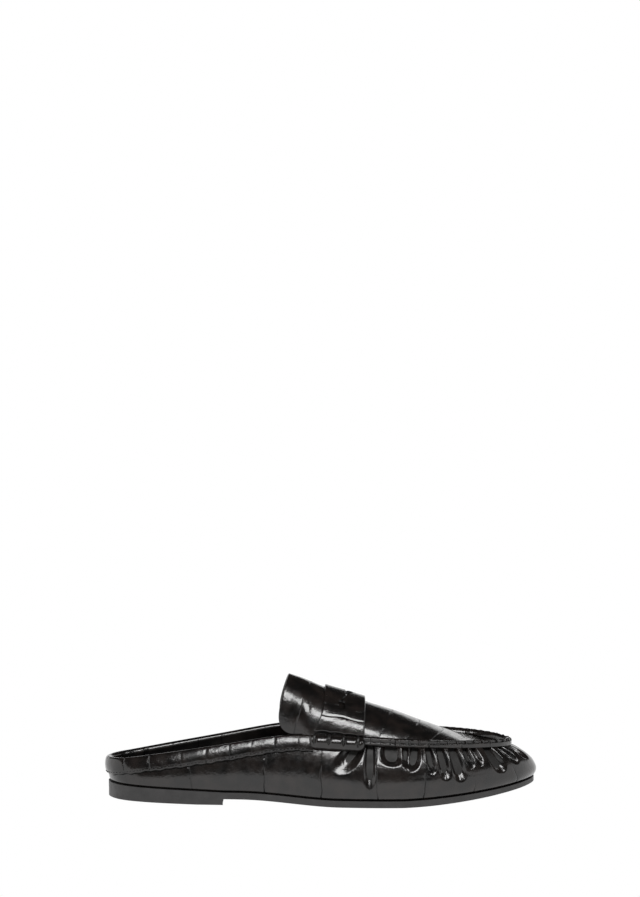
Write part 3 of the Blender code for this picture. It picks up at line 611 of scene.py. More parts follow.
class Wire:
    """A socket of a node tree that takes part in Python expressions."""

    def __init__(self, graph, socket):
        self.graph = graph
        self.socket = socket

    def math(self, operation, *values):
        sockets = dict(enumerate((self, *values)))
        return self.graph.node("ShaderNodeMath", {"operation": operation}, sockets)

    def __add__(self, other):
        return self.math("ADD", other)

    def __mul__(self, other):
        return self.math("MULTIPLY", other)

    def __sub__(self, other):
        return self.math("SUBTRACT", other)

    def __rsub__(self, other):
        return self.graph.node("ShaderNodeMath", {"operation": "SUBTRACT"}, {0: other, 1: self})

    def __neg__(self):
        return self * -1.0

    __radd__ = __add__
    __rmul__ = __mul__

    def larger(self, other):
        return self.math("MAXIMUM", other)

    def ramp(self, start, end, low=0.0, high=1.0):
        """Smooth step from low at start to high at end."""
        sockets = {"Value": self, "From Min": start, "From Max": end, "To Min": low, "To Max": high}
        return self.graph.node("ShaderNodeMapRange", {"interpolation_type": "SMOOTHSTEP"}, sockets)


class Graph:
    """The node tree of a material or of the world."""

    def __init__(self, owner):
        owner.use_nodes = True
        self.tree = owner.node_tree
        self.tree.nodes.clear()

    def node(self, kind, settings, sockets, output=0):
        """Adds a node: its settings first, then the values or links of its sockets. Returns one of its outputs."""
        made = self.tree.nodes.new(kind)
        for key, value in settings.items():
            setattr(made, key, value)
        for key, value in sockets.items():
            if isinstance(value, Wire):
                self.tree.links.new(value.socket, made.inputs[key])
            elif value is not None:
                made.inputs[key].default_value = value
        return None if output is None else Wire(self, made.outputs[output])

    def place(self, stretch=(1.0, 1.0, 1.0)):
        """Position on the shoe, in metres, stretched along the axes."""
        spot = self.node("ShaderNodeTexCoord", {}, {}, "Object")
        return self.node("ShaderNodeVectorMath", {"operation": "MULTIPLY"}, {0: spot, 1: stretch})

    def uv(self, name):
        """The two values of one of the piece's maps."""
        spot = self.node("ShaderNodeUVMap", {"uv_map": name}, {})
        split = self.node("ShaderNodeSeparateXYZ", {}, {0: spot}, 0)
        return split, Wire(self, split.socket.node.outputs[1])

    def noise(self, where, scale, detail=2.0, roughness=0.5):
        """Noise from -0.5 to 0.5 with scale bumps a metre."""
        sockets = {"Vector": where, "Scale": scale, "Detail": detail, "Roughness": roughness}
        return self.node("ShaderNodeTexNoise", {}, sockets) - 0.5

    def cells(self, where, scale):
        """Distance from the middle of the nearest of scale cells a metre."""
        return self.node("ShaderNodeTexVoronoi", {"feature": "F1"}, {"Vector": where, "Scale": scale})

    def colour(self, share, first, second):
        """A colour between two."""
        settings = {"data_type": "RGBA", "clamp_factor": True}
        return self.node("ShaderNodeMix", settings, {0: share, 6: (*first, 1.0), 7: (*second, 1.0)}, 2)

    def relief(self, height):
        """Normals of a surface raised by height, in metres."""
        return self.node("ShaderNodeBump", {}, {"Strength": 1.0, "Distance": 1.0, "Height": height})

    def surface(self, shader):
        self.node("ShaderNodeOutputMaterial", {}, {"Surface": shader}, None)


def new_material(name, tint):
    made = bpy.data.materials.new(name)
    made.diffuse_color = (*tint, 1.0)
    return made, Graph(made)


def groove_share(count, wander, length, width):
    """From 0 on a tile to 1 in the groove round it, and a wider shoulder beside it."""
    shifted = count + wander + 0.5
    beside = (shifted.math("FRACT") - 0.5).math("ABSOLUTE") * length
    return beside.ramp(0.0, width, 1.0, 0.0), beside.ramp(0.0, width * 5, 1.0, 0.0)


def embossed_leather(name, look, tile_length, tile_width, wrinkled=False):
    """Glossy black leather pressed in long tiles: grooves, shallow crowns, fine speckled grain, with painted shade in
    the grooves, creases and stitched channels.
    """
    finish, graph = new_material(name, look.leather_colour)
    place = graph.place()
    along, across = graph.uv("tiles")
    wander = graph.noise(place, 55.0, 2.0) * 0.16 + graph.noise(place, 420.0, 1.0) * 0.02
    groove, shoulder = groove_share(along, wander, tile_length, look.groove_width)
    second, second_shoulder = groove_share(across, wander * 1.3, tile_width, look.groove_width)
    faint = graph.noise(place, 70.0, 1.0).ramp(-0.22, 0.12)
    groove = (groove * faint).larger(second * faint)
    shoulder = shoulder.larger(second_shoulder) * faint
    speckle = graph.noise(place, 780.0, 2.0, 0.6)
    pores = graph.cells(place, 900.0)
    patches = graph.noise(place, 75.0, 2.0).ramp(-0.12, 0.2, 0.35, 1.0)
    grain = (speckle * 1.2 + pores * 0.5) * patches * look.grain_depth
    swell = graph.noise(place, 130.0, 2.0) * look.swell_depth
    height = grain + swell - groove * look.groove_depth - shoulder * (look.groove_depth * 0.35)
    # First map value: painted shade in creases, under seams, along the band's edge and in the stitched channel;
    # second: how gathered the leather is.
    painted_shade, gathered = graph.uv("painted_shade_and_gather")
    if wrinkled:
        skin = graph.node("ShaderNodeUVMap", {"uv_map": "skin"}, {})
        drawn = graph.node("ShaderNodeVectorMath", {"operation": "MULTIPLY"}, {0: skin, 1: (1.0, 0.22, 1.0)})
        height = height + graph.noise(drawn, 420.0, 2.0) * gathered * look.wrinkle_depth
    mottled = graph.noise(place, 110.0, 3.0).ramp(-0.2, 0.25)
    deep = tuple(channel * 0.45 for channel in look.leather_colour)
    warm = tuple(channel * share for channel, share in zip(look.leather_colour, (1.9, 1.6, 1.45)))
    # The grooves take the deep colour: painted shade in the grooves.
    tint = graph.colour(mottled * (1 - groove), deep, warm)
    rough = graph.noise(place, 240.0, 3.0).ramp(-0.25, 0.3, look.gloss, look.gloss + 0.12)
    normal = graph.relief(height)
    sockets = {
        "Base Color": tint,
        "Roughness": rough,
        "IOR": 1.5,
        "Coat Weight": look.coat,
        "Coat Roughness": 0.07,
        "Normal": normal,
        "Coat Normal": normal,
    }
    glossy = graph.node("ShaderNodeBsdfPrincipled", {}, sockets)
    # Dull dark shader mixed in as painted shade in the grooves and wherever the first map value is set.
    hollow = {"Base Color": (*deep, 1.0), "Roughness": 0.85, "Specular IOR Level": 0.1}
    shade = graph.node("ShaderNodeBsdfPrincipled", {}, hollow)
    mask = (groove * 0.75).larger(painted_shade)
    graph.surface(graph.node("ShaderNodeMixShader", {}, {0: mask, 1: glossy, 2: shade}))
    return finish


def soft_leather(name, look):
    """Dull black lining with a fine nap and worn places."""
    finish, graph = new_material(name, look.lining_colour)
    place = graph.place()
    grain = graph.noise(place, 900.0, 3.0) * 0.00005 + graph.cells(place, 650.0) * 0.00004
    worn = graph.noise(place, 45.0, 3.0).ramp(-0.2, 0.25)
    paler = tuple(channel * 1.7 for channel in look.lining_colour)
    sockets = {
        "Base Color": graph.colour(worn, look.lining_colour, paler),
        "Roughness": graph.noise(place, 180.0, 2.0).ramp(-0.3, 0.3, 0.5, 0.68),
        "Specular IOR Level": 0.4,
        "Normal": graph.relief(grain),
    }
    graph.surface(graph.node("ShaderNodeBsdfPrincipled", {}, sockets))
    return finish


def burnished_edge(name, sole):
    """Dyed and polished edge of the stacked sole: faint layers, tiny scuffs."""
    finish, graph = new_material(name, sole.colour)
    place = graph.place()
    layers = graph.noise(graph.place((0.04, 0.04, 1.0)), 1500.0, 2.0)
    scuffs = graph.noise(graph.place((1.0, 1.0, 2.2)), 420.0, 3.0, 0.7)
    height = layers * 0.00005 + scuffs * 0.00005
    paler = tuple(channel * 1.5 for channel in sole.colour)
    sockets = {
        "Base Color": graph.colour(graph.noise(place, 160.0, 3.0).ramp(-0.2, 0.3), sole.colour, paler),
        "Roughness": graph.noise(place, 260.0, 2.0).ramp(-0.25, 0.25, sole.roughness, sole.roughness + 0.14),
        "Normal": graph.relief(height),
    }
    graph.surface(graph.node("ShaderNodeBsdfPrincipled", {}, sockets))
    return finish


def waxed_thread(name, look):
    """Black waxed thread with its twist."""
    finish, graph = new_material(name, look.leather_colour)
    twist = graph.noise(graph.place((1.0, 1.0, 0.4)), 2600.0, 1.0)
    paler = tuple(channel * 1.8 for channel in look.leather_colour)
    sockets = {
        "Base Color": graph.colour(twist.ramp(-0.2, 0.2), look.leather_colour, paler),
        "Roughness": twist.ramp(-0.3, 0.3, 0.22, 0.4),
        "Normal": graph.relief(twist * 0.00008),
    }
    graph.surface(graph.node("ShaderNodeBsdfPrincipled", {}, sockets))
    return finish


# Pieces


def wall_maps(rows, shares, gathered):
    """The wall's maps: metres along and up, embossed tiles, the painted shade in the crease at its foot and under the
    apron seam, and how gathered it is.
    """
    run = np.interp(rows, np.linspace(0, ROUND, 801), seam_run(np.linspace(0, ROUND, 801)))
    height = 0.030 * shares
    lean = 0.10 * np.sin(rows * 2.3) * (shares - 0.5)
    tiles = tile_place(rows + lean, TILE_ROWS, ROUND)
    level = 0.5 + 0.0 * shares
    # Painted shade: darker in the crease over the sole and just under the apron seam.
    crease = np.clip(1 - shares / 0.016, 0, 1)
    under_seam = np.clip((shares - 0.955) / 0.03, 0, 1) * (rows > THROAT_OUTER) * (rows < THROAT_INNER)
    return {
        "skin": pair(run, height),
        "tiles": pair(tiles, level),
        "painted_shade_and_gather": pair(np.clip(crease + 0.7 * under_seam, 0, 1), np.clip(gathered * 2, 0, 1)),
    }


def make_wall(look):
    front = np.linspace(THROAT_OUTER, THROAT_INNER, 740, endpoint=False)
    rear = np.linspace(THROAT_INNER, ROUND + THROAT_OUTER, 260, endpoint=False)
    columns = np.concatenate([front, rear])
    low, rest = np.linspace(0, 0.06, 7)[:-1], np.linspace(0.06, 1, 47)
    rows, shares = np.meshgrid(np.append(columns, ROUND + THROAT_OUTER), np.append(low, rest), indexing="ij")
    points, gathered = leather_wall(rows, shares, look.gather_depth)
    maps = wall_maps(rows, shares, gathered)
    finish = embossed_leather("embossed_leather_wall", look, 0.036, 0.036, wrinkled=True)
    return sheet("wall_leather", points[:-1], finish, maps, closed=True, towards=(0, -1, 0))


def make_lining(look):
    """Lining inside the wall, from the sole to the collar and the seam."""
    rows, shares = np.meshgrid(np.linspace(0, ROUND, 320, endpoint=False), np.linspace(0, 1, 16), indexing="ij")
    points = smooth_wall(rows, shares) - wall_normal(rows, shares) * UPPER_WALL
    finish = soft_leather("lining_leather", look)
    return sheet("wall_lining", points, finish, {}, closed=True, towards=(0, 1, 0))


def apron_maps(points, shares, painted_shade):
    """The apron's maps: the grooves cross the foot, leaning a little back at its sides. They also carry the painted
    shade along the seam.
    """
    back = points[..., 0] + HEEL_REACH + 0.010 * np.abs(2 * shares - 1) ** 1.5
    tiles = tile_place(back / LENGTH, APRON_GROOVES)
    side = tile_place(np.clip(shares, 0, 1), SIDE_GROOVES)
    return {"skin": pair(points[..., 0], points[..., 1]), "tiles": pair(tiles, side), "painted_shade_and_gather": pair(painted_shade, 0.0)}


def make_apron(look):
    """Apron and tongue as one sheet, rounded at the tongue's edge."""
    shares, q = dense_ends(130), np.linspace(0, 1, 34)
    back = 1 - (1 - q) ** 1.5
    reach = tongue_reach(shares)[None, :] * back[::-1, None]
    rows_back = tongue(reach, np.broadcast_to(shares, reach.shape))
    stations = np.linspace(0, 0.999, 190)[1:]
    station, share = np.meshgrid(stations, shares, indexing="ij")
    rows_front = apron(station, share)
    points = np.concatenate([rows_back, rows_front])
    inset = np.concatenate([tongue_reach(shares)[None, :] - reach, np.full(station.shape, 1.0)])
    points = points - UP * edge_drop(inset, 0.0011)[..., None]
    full_shares = np.broadcast_to(shares, inset.shape)
    seam = np.concatenate([np.zeros(reach.shape), np.full(station.shape, 1.0)])
    # Painted shade on the apron along the seam roll.
    near_seam = np.clip(1 - np.minimum(full_shares, 1 - full_shares) / 0.012, 0, 1) * seam
    finish = embossed_leather("embossed_leather_apron", look, 0.022, 0.02)
    maps = apron_maps(points, full_shares, near_seam)
    made = sheet("apron_and_tongue", points, finish, maps, towards=(0, 0, 1))
    if made.data.polygons[len(made.data.polygons) // 2].normal.z < 0:
        made.data.flip_normals()
    thicken(made, UPPER_WALL, outwards=False)
    bake_modifiers(made)
    return made


def collar_rows(steps):
    """Rows of the collar band, from the inner stitched roll round the back to the outer one."""
    clear = (STITCHED_ROLL_BACK - 0.002) / ROW_SPACING
    return np.linspace(THROAT_INNER + clear, ROUND + THROAT_OUTER - clear, steps)


def collar_surface(rows, distance, lift):
    """The band's outer leg: a point at a distance under the collar's edge, lifted off the wall."""
    foot, top = smooth_wall(rows, 0.0), smooth_wall(rows, 1.0)
    slant = np.linalg.norm(top - foot, axis=-1)
    level = 1 - distance / slant
    normal = wall_normal(rows, level)
    return smooth_wall(rows, level) + normal * lift[..., None], normal


def collar_width(rows):
    forward = np.clip((smooth_wall(rows, 1.0)[..., 0] + HEEL_REACH) / (0.3 * LENGTH), 0, 1)
    return COLLAR_WIDTH_BACK + (COLLAR_WIDTH_THROAT - COLLAR_WIDTH_BACK) * forward


def band_lift(inset, width):
    """How far the band's outer leg stands off the wall at an inset from its lower edge."""
    share = np.clip(inset / width, 0, 1)
    pillow = 0.00035 * np.sin(math.pi * share)
    stitched = 0.00025 * np.exp(-(((inset - BAND_STITCH_INSET) / 0.0006) ** 2))
    return COLLAR_THICKNESS + GAP + pillow - stitched - edge_drop(inset, 0.0009)


def make_collar_band(look):
    rows = collar_rows(620)
    width = collar_width(rows)
    wavy = 0.00035 * np.sin(seam_run(rows) * 2 * math.pi / 0.0085) * np.sin(seam_run(rows) * 310)
    width = width + wavy
    strips, levels = [], []
    for share in 1 - dense_ends(15):
        distance = width * share
        lift = band_lift(width - distance, width)
        strips.append(collar_surface(rows, distance, lift)[0])
        levels.append(share)
    top = smooth_wall(rows, 1.0)
    edge, outward = unit(top - smooth_wall(rows, 0.97)), wall_normal(rows, 1.0)
    outer, inner = COLLAR_THICKNESS + GAP, -(UPPER_WALL + GAP + COLLAR_THICKNESS)
    for angle in np.linspace(0, math.pi, 11)[1:-1]:
        middle, half = (outer + inner) / 2, (outer - inner) / 2
        strips.append(top + outward * (middle + half * math.cos(angle)) + edge * 0.0016 * math.sin(angle))
        levels.append(-0.1)
    for share in dense_ends(8):
        distance = np.full(rows.shape, COLLAR_LINING) * share
        lift = inner + edge_drop(COLLAR_LINING - distance, 0.0009)
        strips.append(collar_surface(rows, distance, lift)[0])
        levels.append(-share)
    points = np.stack(strips, axis=1)
    run = (seam_run(rows) - seam_run(rows)[-1] / 2)[:, None]
    tiles = tile_place(run + 0.0012 * np.sin(run * 900), BAND_GROOVES)
    flat = np.ones((1, len(levels)))
    maps = {
        "skin": pair(run * flat, np.array(levels)[None, :] * 0.009),
        "tiles": pair(tiles * flat, 0.5),
        # Painted shade along the band's lower edge.
        "painted_shade_and_gather": pair((np.array(levels) > 0.985)[None, :] * np.ones(run.shape), 0.0),
    }
    finish = embossed_leather("embossed_leather_band", look, 0.0155, 0.0155)
    return sheet("collar_band_leather", points, finish, maps, towards=None)


def make_collar_stitches(look, thread):
    """Small stitches just above the band's lower edge."""
    rows = collar_rows(1500)
    run = seam_run(rows)
    starts = np.arange(0.004, run[-1] - 0.004, look.band_stitch)
    places = starts[:, None] + np.linspace(0, 0.62 * look.band_stitch, 6)[None, :]
    at = np.interp(places, run, rows)
    width = collar_width(at)
    sink = 0.00022 * np.abs(np.linspace(-1, 1, 6)) ** 3
    lift = band_lift(np.full(at.shape, BAND_STITCH_INSET), width) + 0.00018 - sink
    paths, normals = collar_surface(at, width - BAND_STITCH_INSET, lift)
    radii = np.array((0.4, 0.9, 1.0, 1.0, 0.9, 0.4)) * 0.00026
    return bars("collar_stitches", paths, normals, radii, 0.8, thread, sides=6)


def roll_points(rows, angles, below, above, height):
    """Surface of a roll along the seam: angle 0 lies on the apron and pi on the wall."""
    point, down, over, wall_out, apron_out = (part[:, None] for part in seam_frame(rows))
    low = point + down * below[:, None, None] + wall_out * GAP
    high = point + over * above[:, None, None] + apron_out * GAP
    out = unit(wall_out + apron_out)
    share, lift = (1 - np.cos(angles))[..., None] / 2, np.sin(angles)[..., None]
    return high * (1 - share) + low * share + out * (lift * height[..., None] + GAP), out


def seam_sizes(rows):
    """Reach down the wall, reach over the apron and height of the apron seam's roll."""
    toe = np.clip(1.6 - np.abs(rows - TOE) / 4.0, 0, 1)
    toe = toe**2 * (3 - 2 * toe)
    thick = SEAM_THICKNESS + (SEAM_STAND - SEAM_THICKNESS) * toe
    return SEAM_BELOW * (1 - 0.25 * toe), SEAM_ABOVE * (1 - 0.25 * toe), thick, toe


def seam_relief(rows, angles, holes):
    """Height of the roll's profile as a share of its thickness: a lip, a stitched channel and a plain tube."""
    nearest = np.abs(rows[:, None] - holes[None, :]).min(axis=1)[:, None]
    between = np.clip(nearest * ROW_SPACING / (0.5 * SEAM_STITCH), 0, 1)
    channel = np.exp(-(((angles - 1.95) / 0.30) ** 2))
    lip = np.exp(-(((angles - 1.32) / 0.20) ** 2))
    tube = np.exp(-(((angles - 2.62) / 0.26) ** 2))
    return 0.93 + 0.09 * lip + 0.10 * tube * (0.6 + 0.5 * between) - channel * (0.20 + 0.16 * between)


def make_apron_seam(look, holes):
    covered = stitched_roll_rows() - 0.1
    rows = np.linspace(THROAT_OUTER + covered, THROAT_INNER - covered, 760)
    below, above, thick, toe = seam_sizes(rows)
    angles = np.linspace(0.0, math.pi, 34)[None, :]
    relief = seam_relief(rows, angles, holes)
    run = seam_run(rows)[:, None]
    ripple = 0.03 * np.sin(run * 2 * math.pi / SEAM_RIPPLE) * toe[:, None] * np.sin(angles)
    points, _ = roll_points(rows, angles, below, above, thick[:, None] * (relief + ripple))
    flat = np.ones(angles.shape)
    maps = {
        "skin": pair(run * flat, angles * 0.002),
        "tiles": pair(run * flat / SEAM_TILE, 0.5),
        # Painted shade in the stitched channel; the leather also counts as a little gathered.
        "painted_shade_and_gather": pair(np.exp(-(((angles - 1.97) / 0.16) ** 2)) * 0.75 * np.ones(run.shape), 0.3),
    }
    finish = embossed_leather("embossed_leather_seam", look, SEAM_TILE, SEAM_TILE, wrinkled=True)
    return sheet("apron_seam_roll", points, finish, maps, towards=None)


def make_seam_bars(thread, holes):
    """Whip stitches over the seam's channel, from its lip to its tube."""
    below, above, thick, _ = seam_sizes(holes)
    angles = np.linspace(1.45, 2.42, 9)[None, :]
    arc = 0.92 + 0.06 * np.sin(np.linspace(0, math.pi, 9))[None, :] - 0.10 * np.array((1, 0, 0, 0, 0, 0, 0, 0, 1))
    paths, out = roll_points(holes, angles, below, above, thick[:, None] * arc)
    radii = np.array((0.5, 0.85, 1.0, 1.0, 1.0, 1.0, 1.0, 0.85, 0.5)) * SEAM_THREAD
    return bars("apron_seam_stitches", paths, np.broadcast_to(out, paths.shape), radii, 0.7, thread)


def stitched_roll_rows():
    """How many rows of SECTIONS each stitched roll reaches in front of the throat."""
    rows = np.linspace(0, 4, 401)
    path = sections(THROAT_OUTER + rows)[:, 2:5]
    run = np.concatenate([[0], np.cumsum(np.linalg.norm(np.diff(path, axis=0), axis=1))])
    return float(np.interp(STITCHED_ROLL_LENGTH, run, rows))


def whip_rows(outer):
    """Rows of the whip stitches over one of the stitched rolls."""
    behind, covered = STITCHED_ROLL_BACK / ROW_SPACING, stitched_roll_rows()
    offsets = np.array(WHIP_PLACES) * (covered + behind) - behind
    return THROAT_OUTER + offsets if outer else THROAT_INNER - offsets


def make_stitched_roll(look, outer):
    """Thick roll along the seam's start, pinched by its stitches and rounded at both ends."""
    behind, covered = STITCHED_ROLL_BACK / ROW_SPACING, stitched_roll_rows()
    share = dense_ends(190)
    offsets = share * (covered + behind) - behind
    rows = THROAT_OUTER + offsets if outer else THROAT_INNER - offsets
    rounded = np.clip(1 - np.abs(2 * share - 1) ** 9, 0.0, 1) ** 0.5
    pinch = np.exp(-(((share[:, None] - np.array(WHIP_PLACES)[None, :]) / 0.028) ** 2)).max(axis=1)
    angles = np.linspace(0.0, math.pi, 30)[None, :]
    waist = np.exp(-(((angles - 1.75) / 0.75) ** 2))
    foot = np.exp(-(((angles - 2.75) / 0.2) ** 2))
    relief = 1 - 0.30 * pinch[:, None] * waist - 0.08 * (1 - waist) * pinch[:, None] + 0.05 * foot
    size = rounded[:, None] * relief * STITCHED_ROLL_THICKNESS
    reach = 0.35 + 0.65 * rounded
    points, _ = roll_points(rows, angles, STITCHED_ROLL_BELOW * reach, STITCHED_ROLL_ABOVE * reach, size)
    flat = np.ones(angles.shape)
    run = share[:, None] * STITCHED_ROLL_LENGTH
    maps = {
        "skin": pair(run * flat, angles * 0.003),
        "tiles": pair(0.5 + 0.0 * run * flat, 0.5),
        "painted_shade_and_gather": pair(0.0 * run * flat, 1.0),
    }
    side = "outer" if outer else "inner"
    finish = embossed_leather(f"embossed_leather_roll_{side}", look, 0.02, 0.02, wrinkled=True)
    return sheet(f"stitched_roll_{side}_leather", points, finish, maps, towards=None)


def make_whip_stitches(thread, outer):
    """Stitches from under the strap's end over the roll."""
    rows = whip_rows(outer)
    ones = np.ones(rows.shape)
    angles = np.linspace(0.15, 1.95, 11)[None, :]
    arc = 0.93 - 0.22 * np.exp(-(((angles - 1.75) / 0.6) ** 2)) + 0.05
    paths, out = roll_points(
        rows, angles, STITCHED_ROLL_BELOW * ones, STITCHED_ROLL_ABOVE * ones, STITCHED_ROLL_THICKNESS * arc
    )
    radii = np.array((0.7, 1, 1, 1, 1, 1, 1, 1, 0.95, 0.8, 0.4)) * WHIP_THREAD
    side = "outer" if outer else "inner"
    return bars(f"whip_stitches_{side}", paths, np.broadcast_to(out, paths.shape), radii, 0.6, thread)


def make_strap(look):
    """Saddle strap: rounded edges, scalloped ends between the whip stitches, the slot cut through it."""
    along, across = dense_ends(46), dense_ends(190)
    end = rib_share_above_seam(STITCHED_ROLL_ABOVE + 3 * GAP, STRAP_START - HEEL_REACH)
    rise = rib_share_above_seam(STITCHED_ROLL_ABOVE + 3 * GAP + STRAP_SCALLOP, STRAP_START - HEEL_REACH) - end
    phase = (along - STRAP_FIRST_WHIP) / STRAP_WHIP_PITCH
    ends = end + rise * np.abs(np.sin(math.pi * phase))[:, None] ** 0.6
    shares = ends + (1 - 2 * ends) * across[None, :]
    alongs = np.broadcast_to(along[:, None], shares.shape)
    normal = normal_of(strap_point, alongs, shares, 0.02, 0.01)
    side = np.abs(2 * shares - 1)
    stand = GAP + STRAP_STAND * alongs**2 * (1 - side**2)
    under = strap_point(alongs, shares) + normal * stand[..., None]
    inset = np.minimum(np.minimum(alongs, 1 - alongs) * STRAP_WIDTH, np.minimum(across, 1 - across)[None, :] * 0.085)
    top = under + normal * (STRAP_THICKNESS - edge_drop(inset, STRAP_EDGE))[..., None]
    finish = embossed_leather("embossed_leather_strap", look, 0.0125, 0.011)
    side_tiles = tile_place(shares + 0.004 * np.sin(alongs * 9), STRAP_GROOVES)
    maps = {
        "skin": pair(top[..., 0], top[..., 1]),
        "tiles": pair(0.5 + 0.0 * side_tiles, side_tiles),
        "painted_shade_and_gather": pair(0.0 * side_tiles, 0.0),
    }
    made = sheet("saddle_strap_leather", top, finish, maps, towards=(0, 0, 1))
    if made.data.polygons[len(made.data.polygons) // 2].normal.z < 0:
        made.data.flip_normals()
    thicken(made, STRAP_THICKNESS - 0.0004, outwards=False)
    cutter = make_slot_cutter()
    cut = made.modifiers.new("slot", "BOOLEAN")
    cut.operation = "DIFFERENCE"
    cut.solver = "EXACT"
    cut.object = cutter
    bake_modifiers(made)
    bpy.data.objects.remove(cutter, do_unlink=True)
    made.data.set_sharp_from_angle(angle=math.radians(50))
    return made


def make_slot_cutter():
    """The strap's opening as an upright prism."""
    middle = SLOT_MIDDLE - HEEL_REACH
    bm = bmesh.new()
    base = bm.faces.new([bm.verts.new((middle + x, y, 0.6 * INSTEP_HEIGHT)) for x, y in slot_outline()])
    raised = bmesh.ops.extrude_face_region(bm, geom=[base])["geom"]
    for vert in (g for g in raised if isinstance(g, bmesh.types.BMVert)):
        vert.co.z = 1.1 * INSTEP_HEIGHT
    bmesh.ops.recalc_face_normals(bm, faces=bm.faces)
    mesh = bpy.data.meshes.new("slot_cutter")
    bm.to_mesh(mesh)
    bm.free()
    cutter = bpy.data.objects.new("slot_cutter", mesh)
    bpy.context.scene.collection.objects.link(cutter)
    return cutter


def slab(name, offset, low, high, rounding, finish):
    """A slab under the foot line between two heights over x, its rim rounded."""
    count = ROUND * 14
    plan, _ = foot_line(np.linspace(0, ROUND, count, endpoint=False), offset)
    points = np.concatenate([np.column_stack([plan, height(plan[:, 0])]) for height in (low, high)])
    half = count // 2
    across = [(0, 1, count - 1), (half - 1, half, half + 1)]
    across += [(i, i + 1, count - i - 1, count - i) for i in range(1, half - 1)]
    faces = [tuple(count * level + i for i in face) for face in across for level in (0, 1)]
    faces += [(i, (i + 1) % count, (i + 1) % count + count, i + count) for i in range(count)]
    mesh = bpy.data.meshes.new(name)
    mesh.from_pydata(points.tolist(), [], faces)
    made = new_object(name, mesh, finish)
    finish_edges(made, rounding)
    return made


def finish_edges(made, rounding):
    """Turns the piece's faces outwards and rounds its sharp edges."""
    bm = bmesh.new()
    bm.from_mesh(made.data)
    bmesh.ops.recalc_face_normals(bm, faces=bm.faces)
    bm.to_mesh(made.data)
    bm.free()
    bevel = made.modifiers.new("rounding", "BEVEL")
    bevel.width = rounding
    bevel.segments = 3
    bevel.limit_method = "ANGLE"
    bevel.angle_limit = math.radians(40)
    bevel.harden_normals = True
    bake_modifiers(made)


def make_heel(sole, finish):
    """Low wedge under the sole's back, with a straight front face and a slight bevel at the back."""
    breast = HEEL_BREAST - HEEL_REACH
    plan, _ = foot_line(np.linspace(THROAT_INNER, ROUND + THROAT_OUTER, 260), SOLE_LIP * 0.9)
    plan = plan[plan[:, 0] < breast]
    outline = [(breast, plan[0][1]), *map(tuple, plan), (breast, plan[-1][1])]
    bm = bmesh.new()
    floor = bm.faces.new([bm.verts.new((x, y, 0.0)) for x, y in outline])
    raised = bmesh.ops.extrude_face_region(bm, geom=[floor])["geom"]
    for vert in (g for g in raised if isinstance(g, bmesh.types.BMVert)):
        vert.co.z = float(sole_rise(vert.co.x)) + HEEL_SEAT
    for vert in bm.verts:
        if vert.co.z == 0.0 and vert.co.x > breast - GAP:
            vert.co.x -= HEEL_UNDERCUT
    start = Vector((HEEL_BEVEL_LENGTH - HEEL_REACH, 0, 0))
    slope = Vector((HEEL_BEVEL_RISE, 0, HEEL_BEVEL_LENGTH))
    geometry = bm.verts[:] + bm.edges[:] + bm.faces[:]
    cut = bmesh.ops.bisect_plane(bm, geom=geometry, plane_co=start, plane_no=-slope, clear_outer=True)
    edges = [g for g in cut["geom_cut"] if isinstance(g, bmesh.types.BMEdge)]
    bmesh.ops.contextual_create(bm, geom=edges)
    mesh = bpy.data.meshes.new("heel_block")
    bm.to_mesh(mesh)
    bm.free()
    made = new_object("heel_block", mesh, finish)
    finish_edges(made, sole.rounding)
    return made


# Settings, operators and panel


class LoaferLook(bpy.types.PropertyGroup):
    leather_colour: FloatVectorProperty(
        name="Leather", description="Base colour of the leather", subtype="COLOR", default=(0.0075, 0.0068, 0.0066)
    )
    lining_colour: FloatVectorProperty(
        name="Lining", description="Base colour of the lining", subtype="COLOR", default=(0.007, 0.0065, 0.006)
    )
    gloss: FloatProperty(name="Gloss", description="Lowest roughness of the leather", default=0.16, min=0.02, max=1)
    coat: FloatProperty(name="Coat", description="Weight of the clear finish", default=0.35, min=0, max=1)
    grain_depth: FloatProperty(
        name="Grain depth", description="Height of the fine grain", default=0.00006, unit="LENGTH", precision=5
    )
    swell_depth: FloatProperty(
        name="Unevenness", description="Height of the soft swells", default=0.00022, unit="LENGTH", precision=5
    )
    wrinkle_depth: FloatProperty(
        name="Wrinkles", description="Height of wrinkles in the gathers", default=0.0004, unit="LENGTH", precision=5
    )
    groove_depth: FloatProperty(
        name="Groove depth", description="Depth of the embossed grooves", default=0.00035, unit="LENGTH", precision=5
    )
    groove_width: FloatProperty(
        name="Groove width", description="Half width of the grooves", default=0.0006, unit="LENGTH", precision=5
    )
    gather_depth: FloatProperty(
        name="Gather depth", description="Depth of the gathers", default=0.0028, unit="LENGTH", precision=4
    )
    band_stitch: FloatProperty(
        name="Band stitch", description="Pitch of the collar's stitches", default=0.0022, unit="LENGTH", precision=4
    )


class LoaferSole(bpy.types.PropertyGroup):
    colour: FloatVectorProperty(
        name="Sole", description="Base colour of the sole's edge", subtype="COLOR", default=(0.022, 0.021, 0.021)
    )
    roughness: FloatProperty(name="Roughness", description="Lowest roughness of the edge", default=0.42, min=0, max=1)
    rounding: FloatProperty(
        name="Rounding", description="Rounding of the sole's edges", default=0.0005, unit="LENGTH", precision=4
    )


class LoaferStage(bpy.types.PropertyGroup):
    floor_light: FloatProperty(name="Floor", description="Brightness of the pale floor", default=1.0, min=0)
    behind_light: FloatProperty(name="Behind", description="Brightness of the studio behind", default=1.0, min=0)
    dim_light: FloatProperty(name="Dim side", description="Brightness of the studio in front", default=0.02, min=0)
    key_power: FloatProperty(name="Key light", description="Overhead soft box", default=9.0, unit="POWER")
    side_power: FloatProperty(name="Side light", description="Smaller soft box", default=2.5, unit="POWER")


